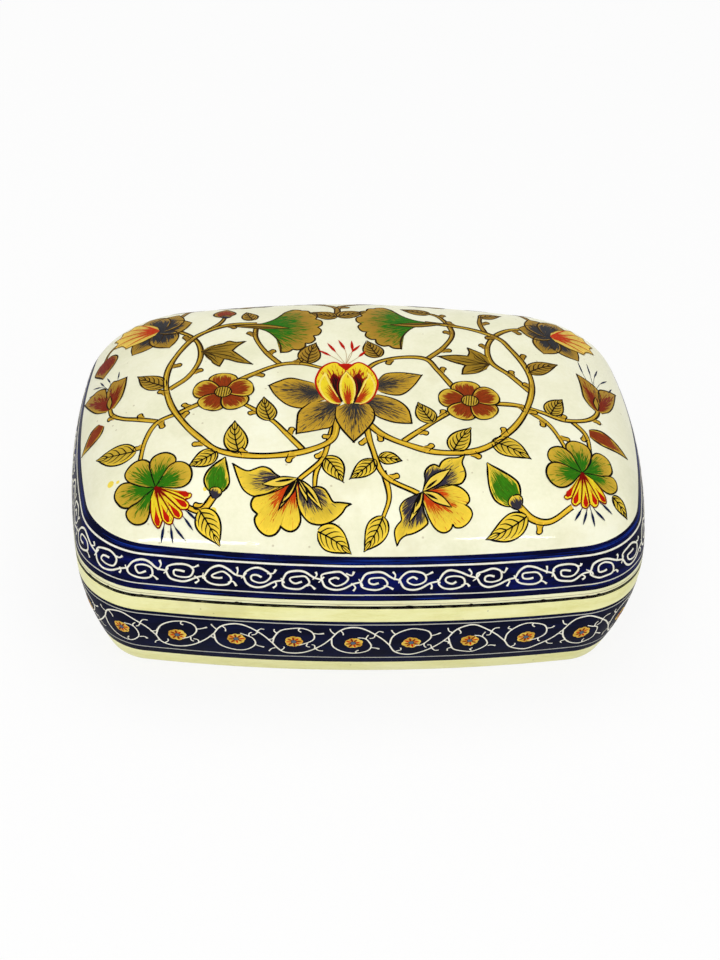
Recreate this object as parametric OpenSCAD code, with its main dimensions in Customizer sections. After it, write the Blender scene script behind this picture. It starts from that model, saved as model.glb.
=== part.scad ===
// Papier mache box with a lift-off lid: a pillow-shaped lid over a tapered tray.
// Every level of both shells is one outline of eight tangent arcs, lofted up a profile.
// Units are millimetres, +Z is up, and the origin is the middle of the underside.

/* [Outline] */
// Width of the box at the seam, left to right
box_w = 152; // [136:1:176]
// Depth of the box at the seam, front to back
box_d = 104; // [94:1:120]
// Radius of the four upright corners
corner_r = 20; // [16:1:26]
// Radius of the bowed front and back
front_bow_r = 385; // [300:5:600]
// Radius of the bowed ends
side_bow_r = 205; // [160:5:400]

/* [Base] */
// Height of the tray, up to its rim
base_h = 30.5; // [26:0.5:40]
// How far the tray draws in between its rim and its underside
base_taper = 8.4; // [4:0.2:10]
// Shape of that taper: 1 is straight, and more keeps the upper wall upright
taper_power = 1.75; // [1.2:0.05:2.5]
// Radius of the rounded foot
foot_r = 3.2; // [2:0.1:4.5]
// Radius of the cove between the inner wall and the floor
cove_r = 5; // [3:0.5:8]

/* [Lid] */
// Rise of the lid, from its rim to its crown
lid_h = 34; // [30:0.5:44]
// Shape of the crown in plan: 2 is round, and more gives a squarer shoulder
crown_power = 3.8; // [2.2:0.1:5]
// Shape of the crown upwards: 2 is round, and more is flatter on top
wall_power = 2.6; // [2:0.05:3.2]

/* [Walls] */
// Thickness of the pulp shells
wall = 3.2; // [2.8:0.1:4]
// Radius of the softened edges of both rims
rim_r = 0.6; // [0.3:0.1:0.9]
// Gap between the closed lid and the tray's rim
seam_gap = 0.2; // [0.1:0.05:0.4]

/* [Collar] */
// Thickness of the collar's pasteboard strip
collar_t = 1.6; // [1:0.1:2.4]
// Depth of the collar inside the tray
collar_in = 9; // [7:0.5:11]
// How far the collar stands above the tray's rim
collar_up = 6.5; // [4:0.5:8]
// Clearance between the collar and the lid
collar_fit = 0.3; // [0.2:0.05:0.5]
// Thickness of the glue behind and under the collar
glue = 0.1; // [0.05:0.05:0.2]
// Radius of the collar's rounded top edges
collar_edge = 0.5; // [0.2:0.1:0.7]

/* [Hidden] */
half_w = box_w / 2;
half_d = box_d / 2;
lid_rim_z = base_h + seam_gap;
// The collar's back is glued to the tray's wall at this distance in from the outline.
rebate = wall;
collar_out = rebate + glue;
// The lid's rebate slides over the collar.
lid_rebate = collar_out - collar_fit;
collar_z0 = base_h - collar_in;
collar_z1 = base_h + collar_up;
// The lid's rebate ends this far above the collar.
top_gap = 0.6;
// The smallest corner that a deep inset leaves
least_corner = 2;
side_steps = 4;
corner_steps = 10;
front_steps = 6;
crown_steps = 14;
ceiling_steps = 12;
taper_steps = 9;
inner_steps = 7;
edge_steps = 3;
foot_steps = 4;
cove_steps = 4;

// The centre of the corner arc, which touches the side arc and the front arc from inside
function corner_centre(a, b, ra, rb, r) =
    let (side = [a - ra, 0], front = [0, b - rb], apart = norm(side - front), along = (side - front) / apart)
    let (k = ((rb - r) ^ 2 - (ra - r) ^ 2 + apart ^ 2) / (2 * apart), h = sqrt((rb - r) ^ 2 - k ^ 2))
    front + along * k + [along.y, -along.x] * h;

function arc(centre, r, from, to, steps) =
    [for (i = [1:steps]) let (t = from + (to - from) * i / steps) centre + r * [cos(t), sin(t)]];

// The first quarter of the outline, from the right-hand end to the back
function quarter(a, b, ra, rb, r) =
    let (c = corner_centre(a, b, ra, rb, r))
    let (side = [a - ra, 0], front = [0, b - rb])
    let (t1 = atan2(c.y - side.y, c.x - side.x), t2 = atan2(c.y - front.y, c.x - front.x))
    concat(
        arc(side, ra, 0, t1, side_steps),
        arc(c, r, t1, t2, corner_steps),
        arc(front, rb, t2, 90, front_steps)
    );

// The whole outline, moved in by inset, as points that run anticlockwise
function outline(inset) =
    let (q = quarter(half_w - inset, half_d - inset, side_bow_r - inset, front_bow_r - inset,
                     max(corner_r - inset, least_corner)), n = len(q))
    let (start = [[half_w - inset, 0]])
    let (back = concat(start, q, [for (i = [n - 2:-1:0]) [-q[i].x, q[i].y]], [-start[0]]))
    concat(back, [for (i = [len(back) - 2:-1:1]) [back[i].x, -back[i].y]]);

// A level is [inset, scale, z]: the outline moved in, then scaled about the middle.
// The smaller the scale, the nearer the level is to an ellipse.
function ring(level) =
    let (a = half_w - level[0], b = half_d - level[0])
    [for (p = outline(level[0]))
        let (reach = norm([p.x / a, p.y / b]), k = level[1] * (1 + (reach - 1) * level[1]) / reach)
        [p.x * k, p.y * k, level[2]]];

// A shell closed by a point at each end, or a band that closes on itself
module loft(levels, closed = false) {
    rings = [for (l = levels) ring(l)];
    count = len(rings[0]);
    last = len(levels) - 1;
    middle = count * len(levels);
    points = concat([for (r = rings) each r], [[0, 0, levels[0][2]], [0, 0, levels[last][2]]]);
    walls = [for (k = [0:closed ? last : last - 1], i = [0:count - 1])
        let (a = k * count + i, b = k * count + (i + 1) % count, up = (k == last ? -last : 1) * count)
        each [[a, a + up, b], [b, a + up, b + up]]];
    caps = closed ? [] : [for (i = [0:count - 1]) each [
        [middle, i, (i + 1) % count],
        [middle + 1, last * count + (i + 1) % count, last * count + i]]];
    polyhedron(points = closed ? [for (r = rings) each r] : points, faces = concat(walls, caps));
}

// How far the tray has drawn in at height z
function taper(z) = base_taper * ((base_h - z) / base_h) ^ taper_power;

// Levels round a quarter circle about [inset, z], from angle a to angle b; 0 points inwards and 90 up
function round_edge(inset, z, r, a, b, steps) =
    [for (i = [0:steps]) let (t = a + (b - a) * i / steps) [inset + r * cos(t), 1, z + r * sin(t)]];

module base_shell() {
    // The foot's arc meets the wall where both lean outwards by the same angle.
    lean = atan(base_taper * taper_power / base_h * (1 - foot_r / 2 / base_h) ^ (taper_power - 1));
    foot_top = foot_r * (1 - sin(lean));
    foot_in = taper(foot_top) + foot_r * cos(lean);
    ledge = collar_z0 - glue;
    cove_top = wall + cove_r;
    cove_in = wall + taper(cove_top) + cove_r;
    color([0.07, 0.09, 0.3])
    loft(concat(
        round_edge(foot_in, foot_r, foot_r, 270, 180 + lean, foot_steps),
        [for (i = [1:taper_steps]) let (z = foot_top + (base_h - rim_r - foot_top) * i / taper_steps) [taper(z), 1, z]],
        round_edge(rim_r, base_h - rim_r, rim_r, 180 - 90 / edge_steps, 90, edge_steps - 1),
        round_edge(rebate - rim_r, base_h - rim_r, rim_r, 90, 0, edge_steps),
        [[rebate, 1, ledge]],
        [for (i = [0:inner_steps]) let (z = ledge + (cove_top - ledge) * i / inner_steps) [wall + taper(z), 1, z]],
        round_edge(cove_in, cove_top, cove_r, 180 + 90 / cove_steps, 270, cove_steps - 1)
    ));
}

module rim_collar() {
    color([0.12, 0.1, 0.1])
    loft(concat(
        [[collar_out, 1, collar_z0]],
        round_edge(collar_out + collar_edge, collar_z1 - collar_edge, collar_edge, 180, 90, edge_steps),
        round_edge(collar_out + collar_t - collar_edge, collar_z1 - collar_edge, collar_edge, 90, 0, edge_steps),
        [[collar_out + collar_t, 1, collar_z0]]
    ), closed = true);
}

// Levels of a pillow of this rise on an outline that is moved in, up from its rim
function pillow(inset, rise, from, to, steps) =
    [for (i = [0:steps]) let (t = from + (to - from) * i / steps)
        [inset, cos(t) ^ (2 / crown_power), lid_rim_z + rise * sin(t) ^ (2 / wall_power)]];

module lid_shell() {
    ceiling = lid_h - wall;
    spring_z = collar_z1 + top_gap;
    spring_t = asin(((spring_z - lid_rim_z) / ceiling) ^ (wall_power / 2));
    // The last level lies half a step short of the middle.
    near_top = 90 * (1 - 0.5 / crown_steps);
    color([0.95, 0.94, 0.84])
    loft(concat(
        pillow(wall, ceiling, near_top, spring_t, ceiling_steps),
        [[lid_rebate, 1, spring_z]],
        round_edge(lid_rebate - rim_r, lid_rim_z + rim_r, rim_r, 0, -90, edge_steps),
        round_edge(rim_r, lid_rim_z + rim_r, rim_r, -90, -180, edge_steps),
        pillow(0, lid_h, asin((2 * rim_r / lid_h) ^ (wall_power / 2)), near_top, crown_steps)
    ));
}

base_shell();
rim_collar();
lid_shell();
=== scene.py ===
"""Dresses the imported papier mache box: lacquered shells, painted borders and a scrolling flower panel.

The painting is thin geometry laid on the shells. Each motif is drawn in millimetres on a flat plan, and
the plan is wrapped onto the lid's dome or round a border band.
"""

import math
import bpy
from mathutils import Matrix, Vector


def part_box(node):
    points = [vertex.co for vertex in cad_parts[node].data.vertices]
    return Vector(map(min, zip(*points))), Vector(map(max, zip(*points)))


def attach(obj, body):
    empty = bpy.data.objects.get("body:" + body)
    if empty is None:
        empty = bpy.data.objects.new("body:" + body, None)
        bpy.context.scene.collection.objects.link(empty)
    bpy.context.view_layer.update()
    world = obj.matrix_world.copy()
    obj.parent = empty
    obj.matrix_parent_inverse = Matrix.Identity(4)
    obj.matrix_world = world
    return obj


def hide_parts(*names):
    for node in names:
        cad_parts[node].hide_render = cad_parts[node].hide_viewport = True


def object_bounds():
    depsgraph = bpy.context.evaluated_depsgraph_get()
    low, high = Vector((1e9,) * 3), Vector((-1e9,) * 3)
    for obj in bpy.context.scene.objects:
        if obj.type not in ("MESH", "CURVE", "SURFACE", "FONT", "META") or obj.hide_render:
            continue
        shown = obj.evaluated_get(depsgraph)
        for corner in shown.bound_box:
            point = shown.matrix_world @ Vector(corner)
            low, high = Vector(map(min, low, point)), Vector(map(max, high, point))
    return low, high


bl_info = {
    "name": "Papier mache box looks",
    "version": (1, 0, 0),
    "blender": (4, 5, 0),
    "location": "3D View > Sidebar > Papier mache",
    "description": "Paints and lacquers a papier mache box on its packed frame",
    "category": "Object",
}

import bpy
import numpy as np
from bpy.props import FloatProperty, IntProperty, PointerProperty
from bpy.types import Operator, Panel, PropertyGroup
from mathutils import Matrix, Vector

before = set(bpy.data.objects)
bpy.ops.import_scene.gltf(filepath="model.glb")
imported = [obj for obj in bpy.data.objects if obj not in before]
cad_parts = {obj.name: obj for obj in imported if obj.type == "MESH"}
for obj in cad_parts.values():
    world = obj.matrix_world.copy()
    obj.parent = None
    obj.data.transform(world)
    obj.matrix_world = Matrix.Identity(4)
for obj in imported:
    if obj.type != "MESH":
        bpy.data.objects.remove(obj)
CAD_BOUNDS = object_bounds()

MM = 0.001


# Settings

def length(name, description, default):
    """A property for a length in metres."""
    return FloatProperty(name=name, description=description, default=default, unit="LENGTH", precision=5)


class BoxForm(PropertyGroup):
    """Sizes that the frame's boxes don't give: the curves of the outline and of the profiles."""

    corner_r: length("Corner radius", "Radius of the four upright corners", 0.020)
    front_bow_r: length("Front bow", "Radius of the bowed front and back", 0.385)
    side_bow_r: length("Side bow", "Radius of the bowed ends", 0.205)
    taper: length("Taper", "How far the tray draws in towards its underside", 0.0084)
    taper_power: FloatProperty(name="Taper shape", description="1 is a straight taper", default=1.75)
    foot_r: length("Foot radius", "Radius of the rounded foot", 0.0032)
    cove_r: length("Cove radius", "Radius between the inner wall and the floor", 0.005)
    crown_power: FloatProperty(name="Crown in plan", description="2 is round, more is squarer", default=3.8)
    wall_power: FloatProperty(name="Crown upwards", description="2 is round, more is flatter on top",
                              default=2.6)
    wall: length("Wall", "Thickness of the pulp shells", 0.0032)
    rim_r: length("Rim radius", "Radius of the softened rims", 0.0006)
    collar_t: length("Collar thickness", "Thickness of the pasteboard collar", 0.0016)
    collar_edge: length("Collar edge", "Radius of the collar's rounded top edges", 0.0005)
    collar_gap: length("Collar gap", "Glue behind the collar", 0.0001)
    collar_fit: length("Collar fit", "Clearance between the collar and the lid", 0.0003)
    top_gap: length("Gap over the collar", "How far the lid's rebate ends above the collar", 0.0006)
    skin: length("Paint allowance", "How far the painted shells lie inside the frame's shells", 0.00022)


class PaintPlan(PropertyGroup):
    """Where the painted borders lie, and how thick the brush is."""

    panel_z: length("Panel edge", "Height of the line where the ivory panel meets the blue border", 0.0461)
    lid_line_high: length("Lid upper line", "Height of the upper white line on the lid", 0.0436)
    lid_scroll_z: length("Lid scroll", "Height of the middle of the lid's white scroll", 0.0393)
    lid_line_low: length("Lid lower line", "Height of the lower white line on the lid", 0.0349)
    lid_blue_z: length("Lid blue edge", "Height of the lower edge of the lid's blue border", 0.0329)
    base_blue_high: length("Base blue upper edge", "Height of the upper edge of the base's border", 0.0254)
    base_line_high: length("Base upper line", "Height of the upper line on the base", 0.0242)
    base_vine_z: length("Base vine", "Height of the middle of the base's flowering vine", 0.0169)
    base_line_low: length("Base lower line", "Height of the lower line on the base", 0.0090)
    base_blue_low: length("Base blue lower edge", "Height of the lower edge of the base's border", 0.0064)
    scroll_bays: IntProperty(name="Scroll bays", description="Curls round the lid", default=46)
    vine_bays: IntProperty(name="Vine bays", description="Flowers round the base", default=30)
    seed: IntProperty(name="Seed", description="Seed of the hand-drawn unevenness", default=11)


class StudioSetup(PropertyGroup):
    """The camera's place, in degrees and metres, and the lamps."""

    elevation: FloatProperty(name="Elevation", description="Angle that the camera looks down, in degrees",
                             default=39.5)
    yaw: FloatProperty(name="Yaw", description="Angle that the box is turned, in degrees", default=4.33)
    roll: FloatProperty(name="Roll", description="Roll of the camera, in degrees", default=-3.13)
    distance: length("Distance", "Distance from the camera to the box's origin", 0.665)
    right: length("Aim right", "How far the origin lies right of the camera's axis", -0.00096)
    up: length("Aim up", "How far the origin lies above the camera's axis", -0.0229)
    lens: FloatProperty(name="Lens", description="Focal length on a 36 mm frame, in millimetres",
                        default=90.1)


# Colours

def srgb(r, g, b):
    """A colour given as 0 to 255, as the shader's linear values."""
    shares = (r / 255, g / 255, b / 255)
    return tuple(c / 12.92 if c <= 0.04045 else ((c + 0.055) / 1.055) ** 2.4 for c in shares)


# Gold paints in pairs: the FRONT colour is painted light on the front of the lid, the BACK colour is painted
# shade towards its back.
GOLD_FRONT = srgb(244, 211, 66)
GOLD_SHADED_BACK = srgb(172, 134, 44)
STEM_FRONT = srgb(238, 192, 52)
STEM_SHADED_BACK = srgb(162, 124, 40)
YELLOW_GOLD = srgb(248, 216, 84)
PALE_YELLOW = srgb(254, 232, 110)
OLIVE_GOLD = srgb(200, 166, 52)
SEPAL_GOLD = srgb(194, 154, 46)
HORN_GOLD = srgb(242, 208, 92)
STALK_BUFF = srgb(196, 170, 130)
BRONZE = srgb(138, 104, 26)
INK = srgb(12, 10, 8)
INK_BACK = srgb(58, 40, 12)
YELLOW = srgb(254, 228, 48)
RED = srgb(190, 28, 10)
DARK_RED = srgb(122, 10, 6)
RED_BROWN = srgb(144, 44, 12)
TULIP_RED = srgb(132, 22, 6)
ORANGE_RED = srgb(206, 52, 12)
GREEN = srgb(24, 120, 14)
BLUE_BLACK = srgb(14, 26, 66)
SLATE = srgb(34, 42, 54)
ENAMEL = srgb(246, 245, 232)
GREY_BLUE = srgb(92, 104, 122)
# Where a paint starts to change towards the back of the lid, and over what length, in millimetres; on the
# gold and the branches this change is painted shade
GOLD_FADE = (-42, 50)
STEM_FADE = (-40, 60)
INK_FADE = (-20, 50)
# How much darker paint is in the middle of a shape, and how much brighter at its rim
DEEP = 0.84
BRIGHT = 1.25


def blend(a, b, t):
    """Mixes two colours, or two arrays of colours."""
    t = np.clip(np.asarray(t, float), 0, 1)[..., None]
    return spot(a) * (1 - t) + spot(b) * t


def spot(point):
    """A place, a row of places or a colour as an array."""
    return np.asarray(point, float)


def gold(v):
    """Gold paint at a distance v, in millimetres, behind the crown, with painted light and shade: bright in
    front, shaded brown behind.
    """
    return blend(GOLD_FRONT, GOLD_SHADED_BACK, (spot(v) - GOLD_FADE[0]) / GOLD_FADE[1])


def stem_gold(v):
    """The branches' gold, a little redder than the leaves', with the same painted shade towards the back."""
    return blend(STEM_FRONT, STEM_SHADED_BACK, (spot(v) - STEM_FADE[0]) / STEM_FADE[1])


def ink(v):
    """Outline ink, which turns from near black to brown towards the back of the lid."""
    return blend(INK, INK_BACK, (spot(v) - INK_FADE[0]) / INK_FADE[1])


def tone(paint, plan):
    """The colour of a paint at each point of a plan; gold and stem gold take painted shade towards the back,
    and ink changes too.
    """
    return paint(plan[..., 1]) if callable(paint) else paint


def lit(colour, share):
    """Paint that lies deeper in the middle of a shape and brighter towards its rim, where share is 1."""
    colour = spot(colour)
    bright = colour * np.minimum(BRIGHT, 1 / np.max(colour, axis=-1, keepdims=True))
    return blend(colour * DEEP, bright, share)


# The box's surfaces

class BoxShape:
    """The surfaces of the tray and the lid as functions of plan coordinates, in metres."""

    # Points on each arc of a quarter of the outline
    SIDE = 60
    CORNER = 160
    FRONT = 140
    # Directions from the crown, and steps along each, in the tables of the unrolled dome
    SPOKES = 720
    STEPS = 300
    # Steps by which the dome's length is measured, and the lean at which it ends above the rim
    LEANS = 900
    LAST_LEAN = 0.004
    # The smallest corner that a deep inset leaves
    LEAST_CORNER = 0.002

    def __init__(self, form):
        self.form = form
        self.half_w, self.half_d, self.base_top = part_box("base_shell")[1]
        self.lid_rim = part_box("lid_shell")[0][2]
        self.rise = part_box("lid_shell")[1][2] - self.lid_rim - form.skin
        self.collar_low, self.collar_high = (corner[2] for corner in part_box("rim_collar"))
        self.rings = {}
        self.xy = self.ring(form.skin)
        step = np.roll(self.xy, -1, 0) - self.xy
        along = np.roll(step, 1, 0) + step
        self.normal = np.column_stack([along[:, 1], -along[:, 0]])
        self.normal /= np.linalg.norm(self.normal, axis=1, keepdims=True)
        self.run = np.concatenate([[0], np.cumsum(np.linalg.norm(step, axis=1))])
        self.perimeter = self.run[-1]
        self.reach = self.reach_of(self.xy, form.skin)
        self.unroll()

    def reach_of(self, xy, inset):
        """How far each point of a ring lies out, where 1 is on the ellipse that the ring holds."""
        return np.hypot(xy[:, 0] / (self.half_w - inset), xy[:, 1] / (self.half_d - inset))

    def ring(self, inset):
        """The outline moved in by inset, anticlockwise from the middle of the front."""
        key = round(inset, 7)
        if key in self.rings:
            return self.rings[key]
        form = self.form
        a, b = self.half_w - inset, self.half_d - inset
        ra, rb = form.side_bow_r - inset, form.front_bow_r - inset
        r = max(form.corner_r - inset, self.LEAST_CORNER)
        side, front = np.array([a - ra, 0.0]), np.array([0.0, b - rb])
        apart = np.linalg.norm(side - front)
        along = (side - front) / apart
        k = ((rb - r) ** 2 - (ra - r) ** 2 + apart ** 2) / (2 * apart)
        centre = front + along * k + np.array([along[1], -along[0]]) * math.sqrt((rb - r) ** 2 - k * k)
        t1 = math.atan2(*(centre - side)[::-1])
        t2 = math.atan2(*(centre - front)[::-1])

        def arc(middle, radius, start, end, count):
            t = np.linspace(start, end, count, endpoint=False)
            return middle + radius * np.column_stack([np.cos(t), np.sin(t)])

        quarter = np.concatenate([arc(side, ra, 0, t1, self.SIDE), arc(centre, r, t1, t2, self.CORNER),
                                  arc(front, rb, t2, math.pi / 2, self.FRONT), [[0.0, b]]])
        back = np.concatenate([quarter, (quarter * [-1, 1])[-2::-1]])
        loop = np.concatenate([back[:-1], (back * [1, -1])[::-1][:-1]])
        self.rings[key] = np.roll(loop, len(loop) // 4, 0)
        return self.rings[key]

    def unroll(self):
        """Tables that turn a distance from the crown, in some direction, into a place on the dome."""
        turn = np.linspace(-math.pi, math.pi, self.SPOKES + 1)
        own = np.arctan2(self.xy[:, 1], self.xy[:, 0])
        order = np.argsort(own)
        radius = np.hypot(self.xy[:, 0], self.xy[:, 1])
        self.spoke_r = np.interp(turn, own[order], radius[order], period=2 * math.pi)
        self.spoke_reach = np.interp(turn, own[order], self.reach[order], period=2 * math.pi)
        lean = np.linspace(math.pi / 2, self.LAST_LEAN, self.LEANS)
        scale, height = self.profile(lean)
        r = self.squeeze(scale[None], self.spoke_reach[:, None]) * self.spoke_r[:, None]
        run = np.hypot(np.diff(r, axis=1), np.diff(height)[None])
        run = np.concatenate([np.zeros((len(turn), 1)), np.cumsum(run, 1)], 1)
        self.spoke_s = run[:, -1]
        share = np.linspace(0, 1, self.STEPS + 1)
        self.spoke_lean = np.array([np.interp(share * line[-1], line, lean) for line in run])

    def profile(self, lean):
        """The crown's scale and height: lean is 0 at the rim and a quarter turn at the top."""
        form = self.form
        scale = np.clip(np.cos(lean), 0, 1) ** (2 / form.crown_power)
        return scale, self.lid_rim + self.rise * np.clip(np.sin(lean), 0, 1) ** (2 / form.wall_power)

    def lean_at(self, height, rise):
        """The lean at which a crown of this rise has come up to a height."""
        return np.arcsin(np.clip((height - self.lid_rim) / rise, 0, 1) ** (self.form.wall_power / 2))

    @staticmethod
    def squeeze(scale, reach):
        """How much of the outline's radius a level of this scale keeps; small levels are nearly ellipses."""
        return scale * (1 + (reach - 1) * scale) / reach

    def index(self, around):
        """The fractional place in the outline's table of a distance round the box."""
        return np.interp(np.mod(around, self.perimeter), self.run, np.arange(len(self.run)))

    @staticmethod
    def lookup(table, index):
        """A value between the rows of a table that closes on itself."""
        low = np.floor(index).astype(int) % len(table)
        part = index - np.floor(index)
        if table.ndim > 1:
            part = part[..., None]
        return table[low] * (1 - part) + table[(low + 1) % len(table)] * part

    def taper(self, height):
        """How far the tray has drawn in at a height."""
        rest = np.clip((self.base_top - height) / self.base_top, 0, 1)
        return self.form.taper * rest ** self.form.taper_power

    def foot(self):
        """The foot's lean, its top height and its centre's inset."""
        form = self.form
        lean = math.atan(form.taper * form.taper_power / self.base_top
                         * (1 - form.foot_r / 2 / self.base_top) ** (form.taper_power - 1))
        top = form.foot_r * (1 - math.sin(lean))
        return lean, top, float(self.taper(top)) + form.foot_r * math.cos(lean)

    def lid_band(self, around, height):
        """A place on the lid's wall, from a distance round the box and a height."""
        index = self.index(around)
        scale, z = self.profile(self.lean_at(height, self.rise))
        keep = self.squeeze(scale, self.lookup(self.reach, index))
        return np.concatenate([self.lookup(self.xy, index) * keep[..., None], z[..., None]], -1)

    def base_band(self, around, height):
        """A place on the tray's wall, from a distance round the box and a height."""
        foot_r = self.form.foot_r
        _, top, centre = self.foot()
        drop = np.clip(foot_r - height, 0, foot_r)
        inset = np.where(height >= top, self.taper(height), centre - np.sqrt(foot_r ** 2 - drop ** 2))
        index = self.index(around)
        xy = self.lookup(self.xy, index) - self.lookup(self.normal, index) * inset[..., None]
        return np.concatenate([xy, spot(height)[..., None] + 0 * xy[..., :1]], -1)

    def dome(self, u, v):
        """A place on the lid's dome, from unrolled coordinates about the crown."""
        angle = np.arctan2(v, u)
        turn = (angle + math.pi) / (2 * math.pi) * self.SPOKES
        low = np.clip(np.floor(turn).astype(int), 0, self.SPOKES - 1)
        part = turn - low
        reach, radius, total = (table[low] * (1 - part) + table[low + 1] * part
                                for table in (self.spoke_reach, self.spoke_r, self.spoke_s))
        step = np.clip(np.hypot(u, v) / total, 0, 1) * self.STEPS
        near = np.clip(np.floor(step).astype(int), 0, self.STEPS - 1)
        rest = step - near
        lean = sum(self.spoke_lean[low + i, near + j] * (part if i else 1 - part) * (rest if j else 1 - rest)
                   for i in (0, 1) for j in (0, 1))
        scale, z = self.profile(lean)
        r = self.squeeze(scale, reach) * radius
        return np.stack([r * np.cos(angle), r * np.sin(angle), z], -1)


# Meshes

def make_object(name, vertices, faces, materials, smooth=True):
    """A mesh object at the origin, with its place in its vertices."""
    mesh = bpy.data.meshes.new(name)
    mesh.from_pydata([tuple(map(float, p)) for p in vertices], [], faces)
    for material in materials:
        mesh.materials.append(material)
    mesh.polygons.foreach_set("use_smooth", [smooth] * len(mesh.polygons))
    mesh.validate()
    mesh.update()
    piece = bpy.data.objects.new(name, mesh)
    bpy.context.scene.collection.objects.link(piece)
    return piece


def settle(piece, body, slot, *nodes):
    """Makes a piece ride on its body and stand for its nodes. The slot is not used."""
    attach(piece, body)
    if nodes:
        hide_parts(*nodes)


def loft(name, rings, zones, materials, closed=False):
    """A lofted surface through rings of points, with a material index for the strip after each ring."""
    count = len(rings[0])
    vertices = np.concatenate(rings)
    faces, marks = [], []
    for k in range(len(rings) if closed else len(rings) - 1):
        a, b = k * count, (k + 1) % len(rings) * count
        for i in range(count):
            j = (i + 1) % count
            faces.append((a + i, a + j, b + j, b + i))
            marks.append(zones[k])
    if not closed:
        for ring, flip in ((0, True), (len(rings) - 1, False)):
            middle = len(vertices)
            vertices = np.concatenate([vertices, [[0, 0, rings[ring][0][2]]]])
            for i in range(count):
                pair = (ring * count + i, ring * count + (i + 1) % count)
                faces.append((middle, *(pair[::-1] if flip else pair)))
                marks.append(zones[ring])
    piece = make_object(name, vertices, faces, materials)
    piece.data.polygons.foreach_set("material_index", marks)
    return piece


def walked(path):
    """The distance walked along a path, at each of its points."""
    return np.concatenate([[0], np.cumsum(np.linalg.norm(np.diff(path, axis=0), axis=1))])


def spline(points, step):
    """A smooth curve through given points, cut into about equal steps."""
    points = spot(points)
    if len(points) == 2:
        count = max(2, int(walked(points)[-1] / step) + 1)
        return points[0] + (points[1] - points[0]) * np.linspace(0, 1, count)[:, None]
    p = np.concatenate([[2 * points[0] - points[1]], points, [2 * points[-1] - points[-2]]])
    t = np.linspace(0, 1, 16, endpoint=False)[:, None]
    dense = [0.5 * (2 * b + (c - a) * t + (2 * a - 5 * b + 4 * c - d) * t ** 2
                    + (3 * b - a - 3 * c + d) * t ** 3)
             for a, b, c, d in zip(p, p[1:], p[2:], p[3:])]
    dense = np.concatenate(dense + [points[-1:]])
    run = walked(dense)
    at = np.linspace(0, run[-1], max(3, int(run[-1] / step) + 1))
    return np.column_stack([np.interp(at, run, dense[:, k]) for k in (0, 1)])


def sides(path):
    """Unit vectors that point to the left of a path."""
    along = np.gradient(path, axis=0)
    along /= np.linalg.norm(along, axis=1, keepdims=True) + 1e-12
    return np.column_stack([-along[:, 1], along[:, 0]])


def toward(degrees):
    """The unit vector that points in a direction."""
    return np.array([math.cos(math.radians(degrees)), math.sin(math.radians(degrees))])


class Coat:
    """Paint on one surface. Patches are given in plan millimetres and end up as one mesh."""

    # The step over which the surface's slope is measured, in metres
    NUDGE = 2e-5
    # Millimetres to one unit of the brush map
    BRUSH_UNIT = 10

    def __init__(self, surface):
        self.surface = surface
        self.points, self.faces, self.paints, self.shades, self.brushes = [], [], [], [], []
        self.count = 0

    def lay(self, plan, lift):
        """Plan millimetres to places on the surface, lifted off it along its normal."""
        a, b = plan[..., 0] * MM, plan[..., 1] * MM
        p = self.surface(a, b)
        normal = np.cross(self.surface(a + self.NUDGE, b) - p, self.surface(a, b + self.NUDGE) - p)
        normal /= np.linalg.norm(normal, axis=-1, keepdims=True) + 1e-30
        return p + normal * (np.broadcast_to(lift, a.shape) * MM)[..., None]

    def grid(self, plan, lift, paint, shade=None, amount=0.0, brush=None):
        """A patch of rows and columns. shade covers paint where amount is high, in strokes along brush."""
        rows, columns = plan.shape[:2]
        right, down = np.diff(plan, axis=1)[:-1], np.diff(plan, axis=0)[:, :-1]
        outward = np.sum(right[..., 0] * down[..., 1] - right[..., 1] * down[..., 0]) > 0
        self.points.append(self.lay(plan, lift).reshape(-1, 3))
        start = self.count + np.arange(rows * columns).reshape(rows, columns)
        quads = np.stack([start[:-1, :-1], start[:-1, 1:], start[1:, 1:], start[1:, :-1]], -1).reshape(-1, 4)
        self.faces.extend(map(tuple, (quads if outward else quads[:, ::-1]).tolist()))
        self.count += rows * columns
        shade = paint if shade is None else shade
        for layer, colour, alpha in ((self.paints, paint, 1.0), (self.shades, shade, amount)):
            patch = np.empty((rows, columns, 4))
            patch[..., :3] = colour
            patch[..., 3] = alpha
            layer.append(patch.reshape(-1, 4))
        self.brushes.append((plan if brush is None else brush).reshape(-1, 2) / self.BRUSH_UNIT)

    def ribbon(self, path, width, lift, paint, bead=0.006, step=0.45):
        """A painted line of varying width, a little thicker in its middle."""
        path = spline(path, step)
        t = np.linspace(0, 1, len(path))
        if np.ndim(width):
            width = np.interp(t, np.linspace(0, 1, len(width)), width)
        half = np.broadcast_to(width, t.shape) / 2
        across = np.array([1.0, 0.0, -1.0])
        plan = path[:, None] + sides(path)[:, None] * (across[:, None] * half[:, None, None])
        lifts = lift + bead * (1 - np.abs(across))[None] + np.zeros((len(path), 1))
        brush = np.stack(np.broadcast_arrays(walked(path)[:, None], across[None] * half[:, None]), -1)
        self.grid(plan, lifts, tone(paint, path[:, None]), brush=brush)

    def build(self, name, material):
        """The coat's patches as one piece, with its colours and its brush map."""
        piece = make_object(name, np.concatenate(self.points), self.faces, [material])
        mesh = piece.data
        for layer, rows in (("paint", self.paints), ("shade", self.shades)):
            colour = mesh.color_attributes.new(layer, "FLOAT_COLOR", "POINT")
            colour.data.foreach_set("color", np.concatenate(rows).astype(np.float32).ravel())
        corners = np.empty(len(mesh.loops), dtype=np.int32)
        mesh.loops.foreach_get("vertex_index", corners)
        layer = mesh.uv_layers.new(name="brush")
        layer.data.foreach_set("uv", np.concatenate(self.brushes)[corners].astype(np.float32).ravel())
        return piece


# Painted motifs, in plan millimetres

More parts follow.
